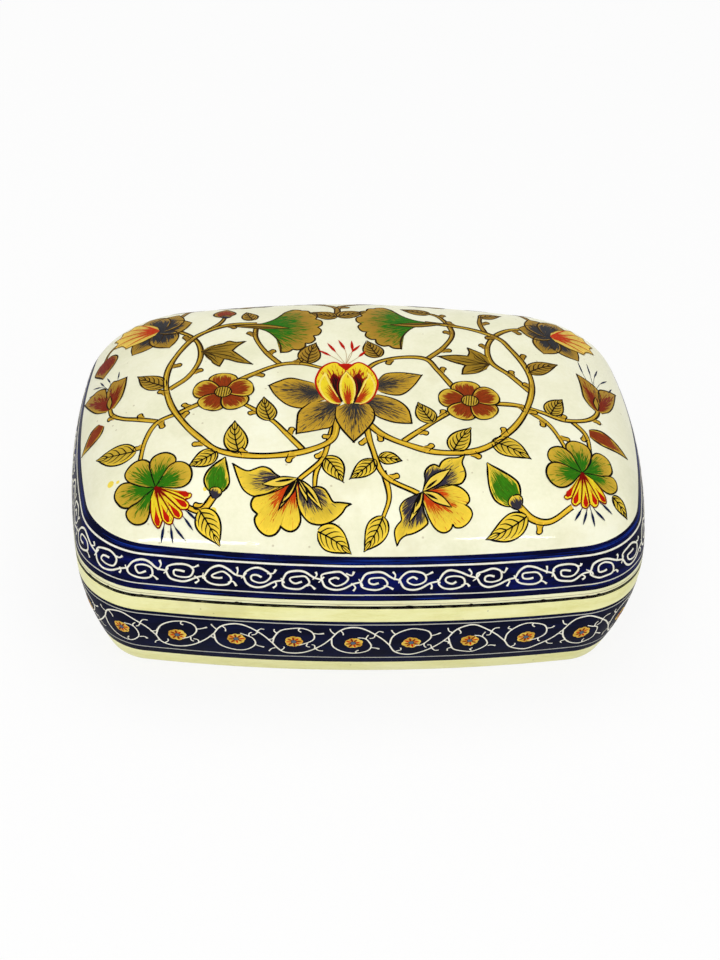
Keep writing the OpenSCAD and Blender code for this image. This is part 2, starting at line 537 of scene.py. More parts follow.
# Half-widths along a leaf or petal: (share of its length, share of its greatest half-width)
LEAF = [(0, 0.1), (0.06, 0.5), (0.2, 0.88), (0.36, 1), (0.56, 0.86), (0.76, 0.48), (0.9, 0.15), (1, 0)]
SEPAL = [(0, 0.4), (0.12, 0.7), (0.3, 0.94), (0.48, 1), (0.66, 0.88), (0.83, 0.54), (0.94, 0.17), (1, 0)]
ROUND = [(0, 0.25), (0.15, 0.52), (0.35, 0.84), (0.56, 1), (0.76, 0.95), (0.9, 0.68), (0.97, 0.38), (1, 0)]
NUB = [(0, 1.2), (0.25, 1.05), (0.45, 0.78), (0.62, 0.72), (0.8, 0.8), (0.93, 0.55), (1, 0)]
BUD = [(0, 0.45), (0.1, 0.75), (0.28, 1), (0.5, 0.85), (0.72, 0.5), (0.9, 0.16), (1, 0)]
LANCE = [(0, 0), (0.2, 0.6), (0.45, 1), (0.7, 0.72), (0.9, 0.25), (1, 0)]


class Brush:
    """Draws motifs with two coats: fills, and the ink and fine strokes over them."""

    # How far ink lies above the fill that it edges
    INK_LIFT = 0.012
    # Lifts of the motifs off the ground, from the leaves up to the lotus's and the trumpet's own layers
    LEAF_LIFT = 0.035
    BUD_LIFT = 0.045
    FLOWER_LIFT = 0.05
    # A leaf longer than this has one more pair of veins
    LONG_LEAF = 7.3
    # Slivers that start further forward than this are a brighter gold
    YELLOW_BEFORE = -20

    def __init__(self, surface, seed):
        self.fill = Coat(surface)
        self.line = Coat(surface)
        self.rng = np.random.default_rng(seed)

    def outline(self, path, width, lift, paint=ink):
        """An inked edge that swells and thins as a brush does, a hair off the edge of the fill."""
        swell = width * self.rng.uniform(0.85, 1.4, 7)
        swell[0] = swell[-1] = width * 0.55
        self.line.ribbon(spot(path) + self.rng.normal(0, 0.07, 2), swell, lift + self.INK_LIFT, paint)

    def blade(self, base, tip, width, lift, shape=LEAF, paint=gold, shade=None, reach=0.0, bend=0.0,
              edge=0.4, edge_ink=ink, rim=0.0, rows=15, columns=9):
        """A leaf or petal from base to tip. reach is how far the shade runs up, and rim the bare margin."""
        base, tip = spot(base), spot(tip)
        size = np.linalg.norm(tip - base)
        ahead = (tip - base) / size
        left = np.array([-ahead[1], ahead[0]])
        t = self.shares(rows)
        bow = bend * size * np.sin(math.pi * t) * (1 - 0.35 * t)
        middle = base + ahead * (t * size)[:, None] + left * bow[:, None]
        out = sides(middle)
        curve = spline(shape, 0.02)
        half = np.interp(t, curve[:, 0], np.clip(curve[:, 1], 0, None)) * width / 2
        across = np.linspace(1, -1, columns)
        plan = middle[:, None] + out[:, None] * (across[:, None] * half[:, None, None])
        brush = np.stack(np.broadcast_arrays((t * size)[:, None], across[None] * width / 2), -1)
        rim_light = np.maximum(np.abs(across)[None] ** 2, t[:, None] ** 4)
        self.fill.grid(plan, lift, lit(tone(paint, plan), rim_light), shade,
                       self.heart(t[:, None], across[None], reach, rim), brush)
        if edge:
            for k in (0, -1):
                self.outline(plan[:, k], edge, lift, edge_ink)
        return middle, out, half

    @staticmethod
    def heart(t, s, reach, rim, firm=1.7, spread=0.45):
        """How much shade lies at a share t of the length and s of the half-width; firm sharpens its end."""
        if not reach:
            return 0.0
        amount = np.clip(firm - firm * t / (reach * (1 - spread * np.abs(s) ** 1.5)), 0, 1)
        if rim:
            amount = amount * np.clip((1 - np.abs(s)) / rim, 0, 1) * np.clip((1 - t) / rim, 0, 1)
        return amount

    def lobe(self, root, edge_points, lift, paint=gold, shade=None, reach=0.0, rim=0.0, edge=0.42,
             edge_ink=ink, rows=10, middle=None, firm=1.7, spread=0.45):
        """A shape drawn from its root to a given edge. A point given twice makes a sharp tip.

        An edge that its root can't see all of is filled out from middle instead. The shade still starts
        at the root.
        """
        root = spot(root)
        edge_line = spline(root + spot(edge_points), 0.45)
        centre = root
        if middle is not None:
            centre = root + spot(middle)
            edge_line = np.concatenate([[root], edge_line, [root]])
        t = np.linspace(0.001, 1, rows)[:, None]
        plan = centre + (edge_line - centre)[None] * t[..., None]
        away = plan - root
        size = np.max(np.linalg.norm(edge_line - root, axis=1))
        if middle is None:
            angle = np.unwrap(np.arctan2(away[-1, :, 1], away[-1, :, 0]))[None] + 0 * t
            along, across = t, np.linspace(-1, 1, len(edge_line))[None]
        else:
            facing = np.arctan2(*(centre - root)[::-1])
            angle = (np.arctan2(away[..., 1], away[..., 0]) - facing + math.pi) % (2 * math.pi)
            along, across = np.linalg.norm(away, axis=-1) / size, t ** 2
        brush = np.stack([np.linalg.norm(away, axis=-1), angle * size * 0.7], -1)
        self.fill.grid(plan, lift, lit(tone(paint, plan), t ** 3 + 0 * along), shade,
                       self.heart(along, across, reach, rim, firm, spread), brush)
        if edge:
            self.outline(edge_line, edge, lift, edge_ink)
        return plan

    def leaf(self, base, tip, width):
        """A leaf with a midrib and dark side veins."""
        size = np.linalg.norm(spot(tip) - spot(base))
        middle, out, half = self.blade(base, tip, width, self.LEAF_LIFT, bend=0.05)
        self.line.ribbon(middle[:-2], [0.46, 0.4, 0.3, 0.14], self.LEAF_LIFT + 0.014, ink)
        for start in np.linspace(0.06, 0.66, 5 if size > self.LONG_LEAF else 4):
            far = start + 0.26
            margin = 0.8 * np.interp(far, self.shares(len(half)), half)
            for side in (1, -1):
                root = self.on(middle, start)
                end = self.on(middle, far) + side * self.on(out, far) * margin
                bow = (root + end) / 2 + side * self.on(out, start) * 0.045 * size
                self.line.ribbon([root, bow, end], [0.34, 0.33, 0.27, 0.1], self.LEAF_LIFT + 0.016, ink)

    @staticmethod
    def shares(count):
        """The shares of a blade's length at which its rows lie."""
        return (1 - np.cos(math.pi * np.linspace(0, 1, count))) / 2

    def on(self, path, share):
        """A point, or a direction, at a share of a blade's length."""
        return np.array([np.interp(share, self.shares(len(path)), path[:, k]) for k in (0, 1)])

    def stem(self, path, width, stubs, lift):
        """A gold branch with inked edges and the stubs of cut shoots."""
        line = spline(path, 0.7)
        t = np.linspace(0, 1, len(line))
        wide = width * (1 - 0.25 * t) * (1 + 0.08 * np.sin(t * len(line) * 0.31))
        out = sides(line)
        across = np.linspace(1, -1, 5)
        plan = line[:, None] + out[:, None] * (across[:, None] * wide[:, None, None] / 2)
        brush = np.stack(np.broadcast_arrays(walked(line)[:, None], across[None] * width), -1)
        # Painted shade: the branch darkens towards both edges so that it looks round. The pale line along
        # one side is a painted highlight, brighter in front.
        flat = stem_gold(plan[..., 1])
        rounded = blend(flat, flat * 0.6, np.abs(across[None]) ** 3 + 0 * t[:, None])
        self.fill.grid(plan, lift, rounded, brush=brush)
        shine = blend(GOLD_FRONT, stem_gold(line[0, 1]), 0.5 + line[0, 1] / 60)
        self.line.ribbon((line + out * (wide * 0.12)[:, None])[1:-1], (wide * 0.16)[1:-1], lift + 0.006,
                         shine)
        for side, thick in ((1, 0.34), (-1, 0.46)):
            swell = thick * self.rng.uniform(0.65, 1.3, max(4, len(line) // 6))
            self.line.ribbon(line + out * side * (wide / 2)[:, None], swell, lift + 0.01, ink)
        for k in range(stubs):
            i = int(len(line) * (k + 0.6) / (stubs + 0.3))
            if 2 < i < len(line) - 2:
                self.stub(line[i], out[i] * (1 if k % 2 else -1), line[i + 1] - line[i], wide[i],
                          lift + 0.012)

    def stub(self, at, out, ahead, width, lift):
        """A cut shoot: a short rounded stub that leans along the branch."""
        lean = out * 0.9 + ahead / (np.linalg.norm(ahead) + 1e-9) * self.rng.uniform(0.2, 0.9)
        lean = lean / np.linalg.norm(lean)
        size = self.rng.uniform(1.9, 2.7) + width * 0.4
        middle, side, half = self.blade(at, at + lean * size, 1.9, lift, NUB, stem_gold(at[1]), edge=0,
                                        rows=13, columns=5, bend=self.rng.uniform(-0.12, 0.12))
        rim = np.concatenate([(middle + side * half[:, None])[4:], (middle - side * half[:, None])[:3:-1]])
        self.line.ribbon(rim, [0.2, 0.44, 0.32, 0.42, 0.2], lift + 0.01, ink, step=0.25)

    def sliver(self, root, tip, width, lift, slit=0.0):
        """A slim gold sepal that lies on a petal, with a dark slit where it folds."""
        root, tip = spot(root), spot(tip)
        paint = YELLOW_GOLD if root[1] < self.YELLOW_BEFORE else gold
        self.blade(root, tip, width, lift, LANCE, paint, bend=0.03, edge=0.34, rows=12, columns=5)
        if slit:
            fold = [root + (tip - root) * share for share in (0.12, slit)]
            self.line.ribbon(fold, [0.15, 0.7, 0.6, 0.15], lift + 0.014, ink)

    def whiskers(self, root, tips, paint, width, stalk=0.14, lift=0.05, stalk_paint=None):
        """Stamens: a fine stalk that swells into a drop at the tip."""
        root = spot(root)
        for tip in spot(tips):
            side = np.array([-(tip - root)[1], (tip - root)[0]]) * self.rng.uniform(-0.12, 0.12)
            path = spline([root, (root + tip) / 2 + side, tip], 0.3)
            turn = int(len(path) * 0.58)
            self.line.ribbon(path[:turn + 1], stalk, lift, paint if stalk_paint is None else stalk_paint)
            self.line.ribbon(path[turn:], [stalk, width, width * 0.85, 0.12], lift + 0.006, paint)

    def round_flower(self, centre, size, turn):
        """Five round petals, red-brown inside, about a hatched gold eye."""
        centre = spot(centre)
        for k in range(5):
            aim = size * toward(turn + 72 * k)
            self.blade(centre + aim * 0.1, centre + aim, size * 0.92, self.FLOWER_LIFT + 0.02 * k, ROUND,
                       gold(-18.0), shade=RED_BROWN, reach=1.4, rim=0.36)
        eye = 0.27 * size
        self.disc(centre, eye, self.FLOWER_LIFT + 0.1)
        for k in range(6):
            x = (k - 2.5) * eye * 0.3
            reach = math.sqrt(max(eye ** 2 * 0.8 - x ** 2, 0.01))
            hatch = [centre + [x - 0.25, -reach], centre + [x + 0.25, reach]]
            self.line.ribbon(hatch, 0.24, self.FLOWER_LIFT + 0.112, ink)

    def disc(self, centre, radius, lift, paint=gold, edge=0.36):
        """A round dab, inked round its edge unless edge is 0."""
        angle = np.linspace(0, 2 * math.pi, 25)
        t = np.linspace(0.04, 1, 4)
        plan = spot(centre) + np.stack([np.cos(angle), np.sin(angle)], -1)[:, None] * (t * radius)[:, None]
        self.fill.grid(plan, lift, tone(paint, plan))
        if edge:
            self.line.ribbon(plan[:, -1], edge, lift + 0.01, ink)

    # The trumpet flower's petals and mouth, about its centre, as it lies in the left corner
    TRUMPET_PETALS = [
        [(-2, 0.5), (-4.5, 1.5), (-6.5, 3), (-9, 3.6), (-10.7, 2.7), (-11.6, 0.8), (-11, -1.2), (-9.5, -3),
         (-7, -3.6), (-4.8, -2.8), (-2.4, -1.5)],
        [(-2.4, 0.5), (-5, 1.8), (-7.4, 3.7), (-8.2, 6), (-7, 8), (-5, 9.2), (-2.8, 9), (-1.3, 7.4), (-1, 5),
         (-0.5, 2)],
        [(-1, 4), (-1.5, 6.5), (-0.7, 8.8), (1, 9.8), (3, 9.8), (4.9, 8.5), (5.4, 6.6), (3.8, 4.6), (2, 2)],
        [(2, 2.8), (3.8, 5.3), (5.6, 6.3), (7.6, 5.9), (9.2, 4.3), (9.6, 2), (8.8, 0), (7, -1), (4.6, -1),
         (2, -0.4)],
        [(-2.5, -1.5), (-4.8, -2.9), (-7.2, -3.6), (-8.6, -4.6), (-8.5, -6.3), (-7.2, -7.8), (-5.4, -8.3),
         (-3.6, -7.9), (-2.4, -6.4), (-1.8, -4.4), (-1.2, -2)],
    ]
    TRUMPET_MOUTH = [(-1.5, -3), (-2, -6), (-1.9, -8.2), (-0.9, -9.6), (0.6, -8), (0.6, -8), (1.6, -9),
                     (2.8, -9), (3.6, -7.7), (3.6, -7.7), (5, -8.2), (6, -7.3), (5.6, -6.2), (5.6, -6.2),
                     (7.5, -6.2), (8, -5), (7, -4), (7, -4), (8.6, -3.7), (8.9, -2.7), (7, -2.7),
                     (4.8, -1.8), (2.3, -0.8)]
    TRUMPET_TIPS = [(-0.9, -9.2), (2, -8.7), (5.1, -7.9), (7.4, -5.7), (8.3, -3.2)]
    TRUMPET_FOLDS = [(0.6, -8), (3.6, -7.7), (5.6, -6.2), (7, -4)]
    TRUMPET_STAMENS = [(-1.5, -12.8), (1.5, -13.3), (5, -13.2), (7.8, -11.2), (9.4, -9.2)]

    def trumpet_flower(self, centre, turn=0.0, side=1):
        """Green-hearted petals behind a fringed red and yellow trumpet with dark stamens."""
        centre = spot(centre)
        right = toward(turn)
        spin = np.array([right, [-right[1], right[0]]])

        def place(points):
            return spot(points) * [side, 1] @ spin

        for k, petal in enumerate(self.TRUMPET_PETALS):
            edge = place(petal)
            lift = self.FLOWER_LIFT + 0.018 * k
            self.lobe(centre, edge, lift, OLIVE_GOLD, shade=GREEN, reach=1.12, rim=0.5, firm=1.4)
            for end in (edge[0], edge[-1]):
                self.line.ribbon([centre, centre + end], [0.2, 0.4], lift + self.INK_LIFT, ink)
        self.whiskers(centre + place([3, -5]), centre + place(self.TRUMPET_STAMENS), BLUE_BLACK, 0.7, 0.2,
                      self.FLOWER_LIFT + 0.09)
        top = self.FLOWER_LIFT + 0.1
        self.lobe(centre, place(self.TRUMPET_MOUTH), top, YELLOW, shade=RED, reach=0.42, edge=0.34,
                  edge_ink=DARK_RED)
        for tip in place(self.TRUMPET_TIPS):
            self.line.ribbon([centre + tip * share for share in (0.55, 0.8, 1)], [0.1, 0.3, 0.9, 1.5, 0.7],
                             top + 0.014, RED)
        for fold in place(self.TRUMPET_FOLDS):
            self.line.ribbon([centre + fold * share for share in (0, 0.5, 1)], [0.7, 0.4, 0.42], top + 0.018,
                             DARK_RED)

    def bud(self, base, tip, width, shade, calyx=True):
        """A closed bud: one pointed blade with a coloured heart, on a dark calyx."""
        self.blade(base, tip, width, self.BUD_LIFT, BUD, shade=shade, reach=1.2, rim=0.34, bend=0.05,
                   edge=0.46)
        if calyx:
            base, size = spot(base), spot(tip) - spot(base)
            self.blade(base - size * 0.16, base + size * 0.14, width * 0.5, self.BUD_LIFT + 0.014, ROUND,
                       shade=BLUE_BLACK, reach=1.0, edge=0.3, rows=8, columns=5)

    # The lotus, about the foot of its cup: sepals, then the cup's petals from back to front
    LOTUS_SEPALS = [
        ((-7, 5), [(-1, 4), (-3.5, 5), (-7, 6), (-10, 4.7), (-12.5, 3), (-12.5, 3), (-11, -1), (-8, -5),
                   (-4.5, -6.4), (-2, -5), (1.5, -3)]),
        ((7, 8), [(1.5, 2.5), (3.5, 5.2), (7.2, 5.8), (10.5, 5.4), (13, 4.8), (13, 4.8), (10.5, 0),
                  (7.5, -3.4), (4.5, -3.6), (2, -2.6)]),
        ((-1, 2), [(-8, -1), (-11, -4.5), (-11.7, -8), (-12, -13), (-12, -13), (-8.5, -12.3), (-5.5, -11.5),
                   (-3, -10.5), (-2, -7)]),
        ((3, 3), [(3.4, -5.6), (5.2, -7.8), (8.4, -9.5), (11, -10), (13.5, -10), (13.5, -10), (13, -5),
                  (11, -1.6), (8, 0.4), (5.2, 1.4)]),
        ((2, 2), [(-4.6, -3), (-4.9, -7), (-3.4, -11.5), (-0.6, -16), (-0.6, -16), (2.6, -12), (4.8, -8),
                  (5, -4.5), (4, -2)]),
    ]
    LOTUS_CUP = [
        ((-1, 2.5), [(-1, -2.5), (-3.5, -1.2), (-5.6, 2), (-6.6, 6.5), (-6, 10.2), (-4.4, 13.6),
                     (-1.8, 15.4), (0, 14.6), (1.5, 12), (1.5, 12), (0.8, 8), (0.8, 3)]),
        ((2, 2.5), [(-0.8, 3), (-0.8, 8), (-1.5, 12), (-1.5, 12), (0.4, 14.6), (2.2, 15.4), (4.2, 13.8),
                    (5.9, 10.4), (6.5, 6.3), (5.6, 2.2), (4, -1), (1.6, -2.5)]),
    ]
    LOTUS_SIDE = [(0.2, -0.2), (-2.2, 0), (-4.2, 2.6), (-5.2, 6), (-5, 9), (-3.6, 12.4), (-3.6, 12.4),
                  (-3, 9.4), (-1.9, 5.8), (-0.7, 2.4)]
    LOTUS_FRONT = [(-1, 0.4), (-1.7, 4), (-1.8, 8), (-1.2, 11), (0, 13.8), (0, 13.8), (1.2, 11), (1.8, 8),
                   (1.7, 4), (1, 0.4)]
    LOTUS_STAMENS = [(-6.4, 23.4), (-4.0, 26.6), (-1.0, 28.0), (2.4, 27.8), (4.6, 25.8), (6.0, 23.2)]
    LOTUS_BACK = [(-2.2, 2.6), (-0.8, 3), (0.8, 3), (2.2, 2.6)]
    # How far the cup's axis lies right of the lotus's base
    LOTUS_AXIS = 0.5

    def lotus(self, base):
        """The middle flower: gold sepals under a yellow and red cup with dark gaps and red stamens."""
        base = spot(base)
        axis = base + [self.LOTUS_AXIS, 0]
        for k, (heart, edge) in enumerate(self.LOTUS_SEPALS):
            self.lobe(base + heart, edge, self.FLOWER_LIFT + 0.009 * k, SEPAL_GOLD, shade=SLATE, reach=1.05,
                      rows=13, firm=1.05, spread=0.2)
        self.whiskers(axis + [0, 17], base + self.LOTUS_STAMENS, RED, 0.85, 0.14, self.FLOWER_LIFT + 0.03,
                      STALK_BUFF)
        cup = self.FLOWER_LIFT + 0.06
        for heart, edge in self.LOTUS_CUP:
            self.lobe(base + heart, edge, cup, YELLOW, shade=RED, reach=0.98, edge=0.46, edge_ink=RED,
                      spread=0.0, firm=1.5)
        self.lobe(axis + [0, 14.4], self.LOTUS_BACK, cup + 0.014, RED, edge=0, rows=5)
        for side in (-1, 1):
            self.blade(axis + [side * 1.6, 1.0], axis + [side * 3.4, 13.4], 5.4, cup + 0.02, LANCE, DARK_RED,
                       INK, 1.25, edge=0, rows=10, columns=5)
        for side in (-1, 1):
            self.lobe(axis + [side * 1.8, 0.8], spot(self.LOTUS_SIDE) * [-side, 1], cup + 0.032, YELLOW,
                      shade=RED, reach=0.82, edge=0.46, edge_ink=PALE_YELLOW, spread=0.1)
        self.lobe(axis + [0, 0.2], self.LOTUS_FRONT, cup + 0.046, YELLOW, shade=RED, reach=0.72, edge=0.5,
                  edge_ink=PALE_YELLOW, spread=0.1)
        for side in (-1, 1):
            slit = [axis + [side * x, y] for x, y in ((1.5, 2), (2.5, 6), (2.2, 10), (0, 14.2))]
            self.line.ribbon(slit, [0.12, 0.3, 0.26, 0.12], cup + 0.066, DARK_RED)


# Materials

class Nodes:
    """A node tree, with a short call for each kind of node that this box's finishes use."""

    def __init__(self, tree):
        self.tree = tree

    def add(self, kind, settings=None, **links):
        """A node. A link named i and a number goes to the input of that number."""
        node = self.tree.nodes.new(kind)
        for key, value in (settings or {}).items():
            setattr(node, key, value)
        for key, value in links.items():
            socket = node.inputs[int(key[1:])] if key[0] == "i" and key[1:].isdigit() else node.inputs[key]
            if hasattr(value, "links"):
                self.tree.links.new(value, socket)
            else:
                socket.default_value = value
        return node

    def place(self):
        return self.add("ShaderNodeTexCoord").outputs["Object"]

    def stretch(self, place, scale, shift=(0.0, 0.0, 0.0)):
        return self.add("ShaderNodeMapping", i0=place, i1=shift, i3=scale).outputs[0]

    def noise(self, place, scale, detail, rough=0.5, kind="3D"):
        node = self.add("ShaderNodeTexNoise", {"noise_dimensions": kind}, Vector=place, Scale=scale,
                        Detail=detail, Roughness=rough)
        return node.outputs["Fac"]

    def span(self, value, low, high, start, end, kind="LINEAR"):
        """A value's run from low to high turned into one from start to end."""
        node = self.add("ShaderNodeMapRange", {"interpolation_type": kind}, i0=value, i1=low, i2=high,
                        i3=start, i4=end)
        return node.outputs[0]

    def math(self, operation, *values):
        sockets = {f"i{k}": value for k, value in enumerate(values)}
        return self.add("ShaderNodeMath", {"operation": operation}, **sockets).outputs[0]

    def mix(self, share, a, b, kind="MIX"):
        """Colour a with a share of colour b over it."""
        a, b = (value if hasattr(value, "links") else (*value, 1) for value in (a, b))
        node = self.add("ShaderNodeMix", {"data_type": "RGBA", "blend_type": kind}, i0=share, i6=a, i7=b)
        return node.outputs[2]

    def bump(self, strength, distance, height, **links):
        return self.add("ShaderNodeBump", Strength=strength, Distance=distance, Height=height,
                        **links).outputs[0]

    def ramp(self, value, stops):
        """A colour ramp through stops: (place, colour)."""
        node = self.add("ShaderNodeValToRGB", Fac=value)
        elements = node.color_ramp.elements
        elements[0].position, elements[1].position = stops[0][0], stops[-1][0]
        for position, _ in stops[1:-1]:
            elements.new(position)
        for element, (_, colour) in zip(elements, stops):
            element.color = (*colour, 1)
        return node.outputs[0]


def new_material(name):
    """A new material, the nodes of its tree and its shader."""
    material = bpy.data.materials.new(name)
    material.use_nodes = True
    tree = material.node_tree
    return material, Nodes(tree), tree.nodes["Principled BSDF"]


def finish(nodes, shader, weight, **links):
    """Joins what varies to the shader and adds the clear gloss that covers every painted surface."""
    for name, value in links.items():
        nodes.tree.links.new(value, shader.inputs[name.replace("_", " ")])
    shader.inputs["Coat Weight"].default_value = weight
    shader.inputs["Coat Roughness"].default_value = 0.06
    shader.inputs["Specular IOR Level"].default_value = 0.1 * weight


def ground(name, tones, grain=(60, 900), specks=0.0, speck=INK_BACK, rough=(0.32, 0.5), wave=0.12,
           stretch=(1, 1, 1), stain=None, gloss=0.35):
    """A brushed ground coat: three tones, fine grain, specks, and a slightly wavy lacquer."""
    material, nodes, shader = new_material(name)
    place = nodes.place()
    brushed = nodes.stretch(place, stretch)
    broad = nodes.noise(brushed, grain[0], 5.0, 0.6)
    fine = nodes.noise(brushed, grain[1], 3.0, 0.7)
    streaks = nodes.math("SUBTRACT", nodes.math("MULTIPLY_ADD", fine, 0.35, broad), 0.175)
    colour = nodes.ramp(streaks, tuple(zip((0.3, 0.5, 0.7), tones)))
    if stain:
        cloud = nodes.noise(place, 34.0, 4.0, 0.65)
        colour = nodes.mix(nodes.span(cloud, 0.56, 0.72, 0.0, 0.34, "SMOOTHSTEP"), colour, stain)
    if specks:
        cells = nodes.add("ShaderNodeTexVoronoi", Vector=place, Scale=330.0, Randomness=1.0)
        near = nodes.math("LESS_THAN", cells.outputs["Distance"], specks)
        rare = nodes.math("GREATER_THAN", nodes.noise(place, 70.0, 1.0), 0.56)
        soft = nodes.math("MULTIPLY", nodes.math("MULTIPLY", near, rare), 0.34)
        colour = nodes.mix(soft, colour, speck)
    relief = nodes.bump(wave, 0.0006, nodes.noise(place, 95.0, 2.0, 0.45))
    finish(nodes, shader, gloss, Base_Color=colour, Roughness=nodes.span(broad, 0.3, 0.7, *rough),
           Coat_Normal=relief, Normal=nodes.bump(0.25, 0.00008, fine, Normal=relief))
    return material


def paintwork(name, metallic, streak=(3.0, 26.0), thin=0.25):
    """Brush paint that reads its colour and shading from the mesh, with strokes that follow each motif."""
    material, nodes, shader = new_material(name)
    own = nodes.add("ShaderNodeAttribute", {"attribute_name": "paint"}).outputs["Color"]
    over = nodes.add("ShaderNodeAttribute", {"attribute_name": "shade"})
    stroke = nodes.add("ShaderNodeUVMap", {"uv_map": "brush"}).outputs[0]
    hairs = nodes.noise(nodes.stretch(stroke, (*streak, 1.0)), 1.0, 3.0, 0.65, "2D")
    cloud = nodes.noise(nodes.place(), 420.0, 3.0, 0.6)
    darker = nodes.mix(1.0, own, (0.62, 0.55, 0.42), "MULTIPLY")
    worn = nodes.mix(nodes.span(cloud, 0.35, 0.7, 0.0, thin), own, darker)
    lined = nodes.mix(nodes.span(hairs, 0.4, 0.62, 0.0, 0.22), worn, darker)
    # Each brush hair carries the shade a little further or less far than its neighbour.
    held = nodes.math("MULTIPLY_ADD", hairs, -2.5, over.outputs["Alpha"])
    covered = nodes.span(held, -1.03, -0.62, 0.0, 0.96, "SMOOTHSTEP")
    strands = nodes.stretch(stroke, (streak[0] * 1.4, streak[1] * 1.3, 1.0), (7.0, 3.0, 0.0))
    depth = nodes.span(nodes.noise(strands, 1.0, 2.0, 0.6, "2D"), 0.42, 0.6, 0.0, 0.65)
    deep = nodes.mix(depth, over.outputs["Color"], (0.48, 0.42, 0.42), "MULTIPLY")
    finish(nodes, shader, 0.05, Base_Color=nodes.mix(covered, lined, deep),
           Roughness=nodes.span(cloud, 0.3, 0.7, 0.3, 0.5), Normal=nodes.bump(0.2, 0.00005, hairs))
    shader.inputs["Metallic"].default_value = metallic
    return material


def palette():
    """The box's materials by name."""
    upright = (1, 1, 4)
    dark = {"grain": (70, 700), "stretch": (1, 1, 5), "wave": 0.1}
    return {
        "ivory": ground("ivory_ground", (srgb(236, 235, 200), srgb(245, 243, 212), srgb(250, 249, 223)),
                        specks=0.1, wave=0.2, stain=srgb(214, 208, 160), speck=srgb(150, 128, 66)),
        "edge_ivory": ground("ivory_edge", (srgb(224, 221, 170), srgb(238, 236, 192), srgb(245, 243, 206)),
                             stretch=upright, wave=0.08, specks=0.09),
        "base_cream": ground("cream_band", (srgb(229, 225, 150), srgb(240, 237, 172), srgb(246, 244, 190)),
                             stretch=upright, wave=0.08, specks=0.09, stain=srgb(196, 184, 112)),
        "blue": ground("blue_ground", (srgb(0, 1, 24), srgb(2, 5, 44), srgb(6, 17, 88)), rough=(0.28, 0.42),
                       gloss=0.07, **dark),
        "navy": ground("navy_ground", (srgb(2, 4, 25), srgb(4, 8, 36), srgb(9, 16, 52)), rough=(0.3, 0.45),
                       gloss=0.06, **dark),
        "black": ground("black_lacquer", (srgb(12, 10, 10), srgb(20, 17, 16), srgb(30, 26, 24)),
                        grain=(50, 600), rough=(0.25, 0.4), wave=0.16),
        "paint": paintwork("flower_paint", 0.12),
        "lines": paintwork("ink_and_lines", 0.0, streak=(5.0, 8.0), thin=0.15),
        "enamel": paintwork("enamel_lines", 0.0, streak=(6.0, 6.0), thin=0.3),
    }


PALETTE = {}


def look(name):
    """One of the box's materials; all are made when the first is asked for."""
    if not PALETTE:
        PALETTE.update(palette())
    return PALETTE[name]


def shape():
    """The box's surfaces, from the sizes in the sidebar."""
    return BoxShape(bpy.context.scene.box_form)


# Pieces

# Only every third point of the outline's table goes into a shell's rings
THINNING = 3


def level(box, inset, height):
    """A ring of the outline at an inset and a height."""
    xy = box.ring(inset)[::THINNING]
    return np.column_stack([xy, np.full(len(xy), height)])


def arc_levels(box, inset, height, radius, start, end, steps):
    """Rings round a quarter circle; 0 degrees points inwards and 90 up."""
    return [level(box, inset + radius * toward(a)[0], height + radius * toward(a)[1])
            for a in np.linspace(start, end, steps)]


def crown_level(box, lean, inset, rise):
    """A ring of a crown of this rise, on the outline moved in by inset."""
    form = box.form
    base = box.ring(inset)[::THINNING]
    scale = max(math.cos(lean), 1e-9) ** (2 / form.crown_power)
    xy = base * box.squeeze(scale, box.reach_of(base, inset))[:, None]
    return np.column_stack([xy, np.full(len(xy),
                                        box.lid_rim + rise * math.sin(lean) ** (2 / form.wall_power))])


class Shell:
    """A shell's rings, with the paint of the strip after each."""

    def __init__(self):
        self.rings, self.zones = [], []

    def add(self, rings, zone):
        self.rings.extend(rings)
        self.zones.extend([zone] * len(rings))

    def build(self, name, looks, closed=False):
        """The lofted shell. Each zone is the name of one of the looks."""
        marks = [looks.index(zone) for zone in self.zones]
        return loft(name, self.rings, marks, [look(zone) for zone in looks], closed)


class BOX_OT_base_shell(Operator):
    """Build the lacquered tray: blue border, cream bands, dark underside and inside"""

    bl_idname = "papier_box.base_shell"
    bl_label = "Tray"

    def execute(self, context):
        box, form, plan = shape(), context.scene.box_form, context.scene.paint_plan
        wall, rim_r, skin = form.wall, form.rim_r, form.skin
        lean, foot_top, foot_in = box.foot()
        rim_z = box.base_top - rim_r
        shell = Shell()
        foot = arc_levels(box, skin + foot_in, form.foot_r, form.foot_r, 270, 180 + math.degrees(lean), 9)
        shell.add(foot[:3], "black")
        shell.add(foot[3:], "base_cream")
        for z in sorted({plan.base_blue_low, plan.base_blue_high, *np.linspace(foot_top, rim_z, 34)[1:]}):
            zone = "navy" if plan.base_blue_low <= z < plan.base_blue_high else "base_cream"
            shell.add([level(box, skin + box.taper(z), z)], zone)
        rim = arc_levels(box, skin + rim_r, rim_z, rim_r, 180, 90, 6)[1:]
        shell.add(rim[:2], "base_cream")
        shell.add(rim[2:], "black")
        shell.add(arc_levels(box, wall - rim_r, rim_z, rim_r, 90, 0, 5), "black")
        ledge, cove_top = box.collar_low - form.collar_gap, wall + form.cove_r
        shell.add([level(box, wall, ledge)], "black")
        shell.add([level(box, wall + box.taper(z), z) for z in np.linspace(ledge, cove_top, 12)], "black")
        cove_in = wall + box.taper(cove_top) + form.cove_r
        shell.add(arc_levels(box, cove_in, cove_top, form.cove_r, 180, 270, 9)[1:], "black")
        piece = shell.build("base_shell_lacquered", ["black", "base_cream", "navy"])
        settle(piece, "base", "base_lacquer", "base_shell")
        return {"FINISHED"}


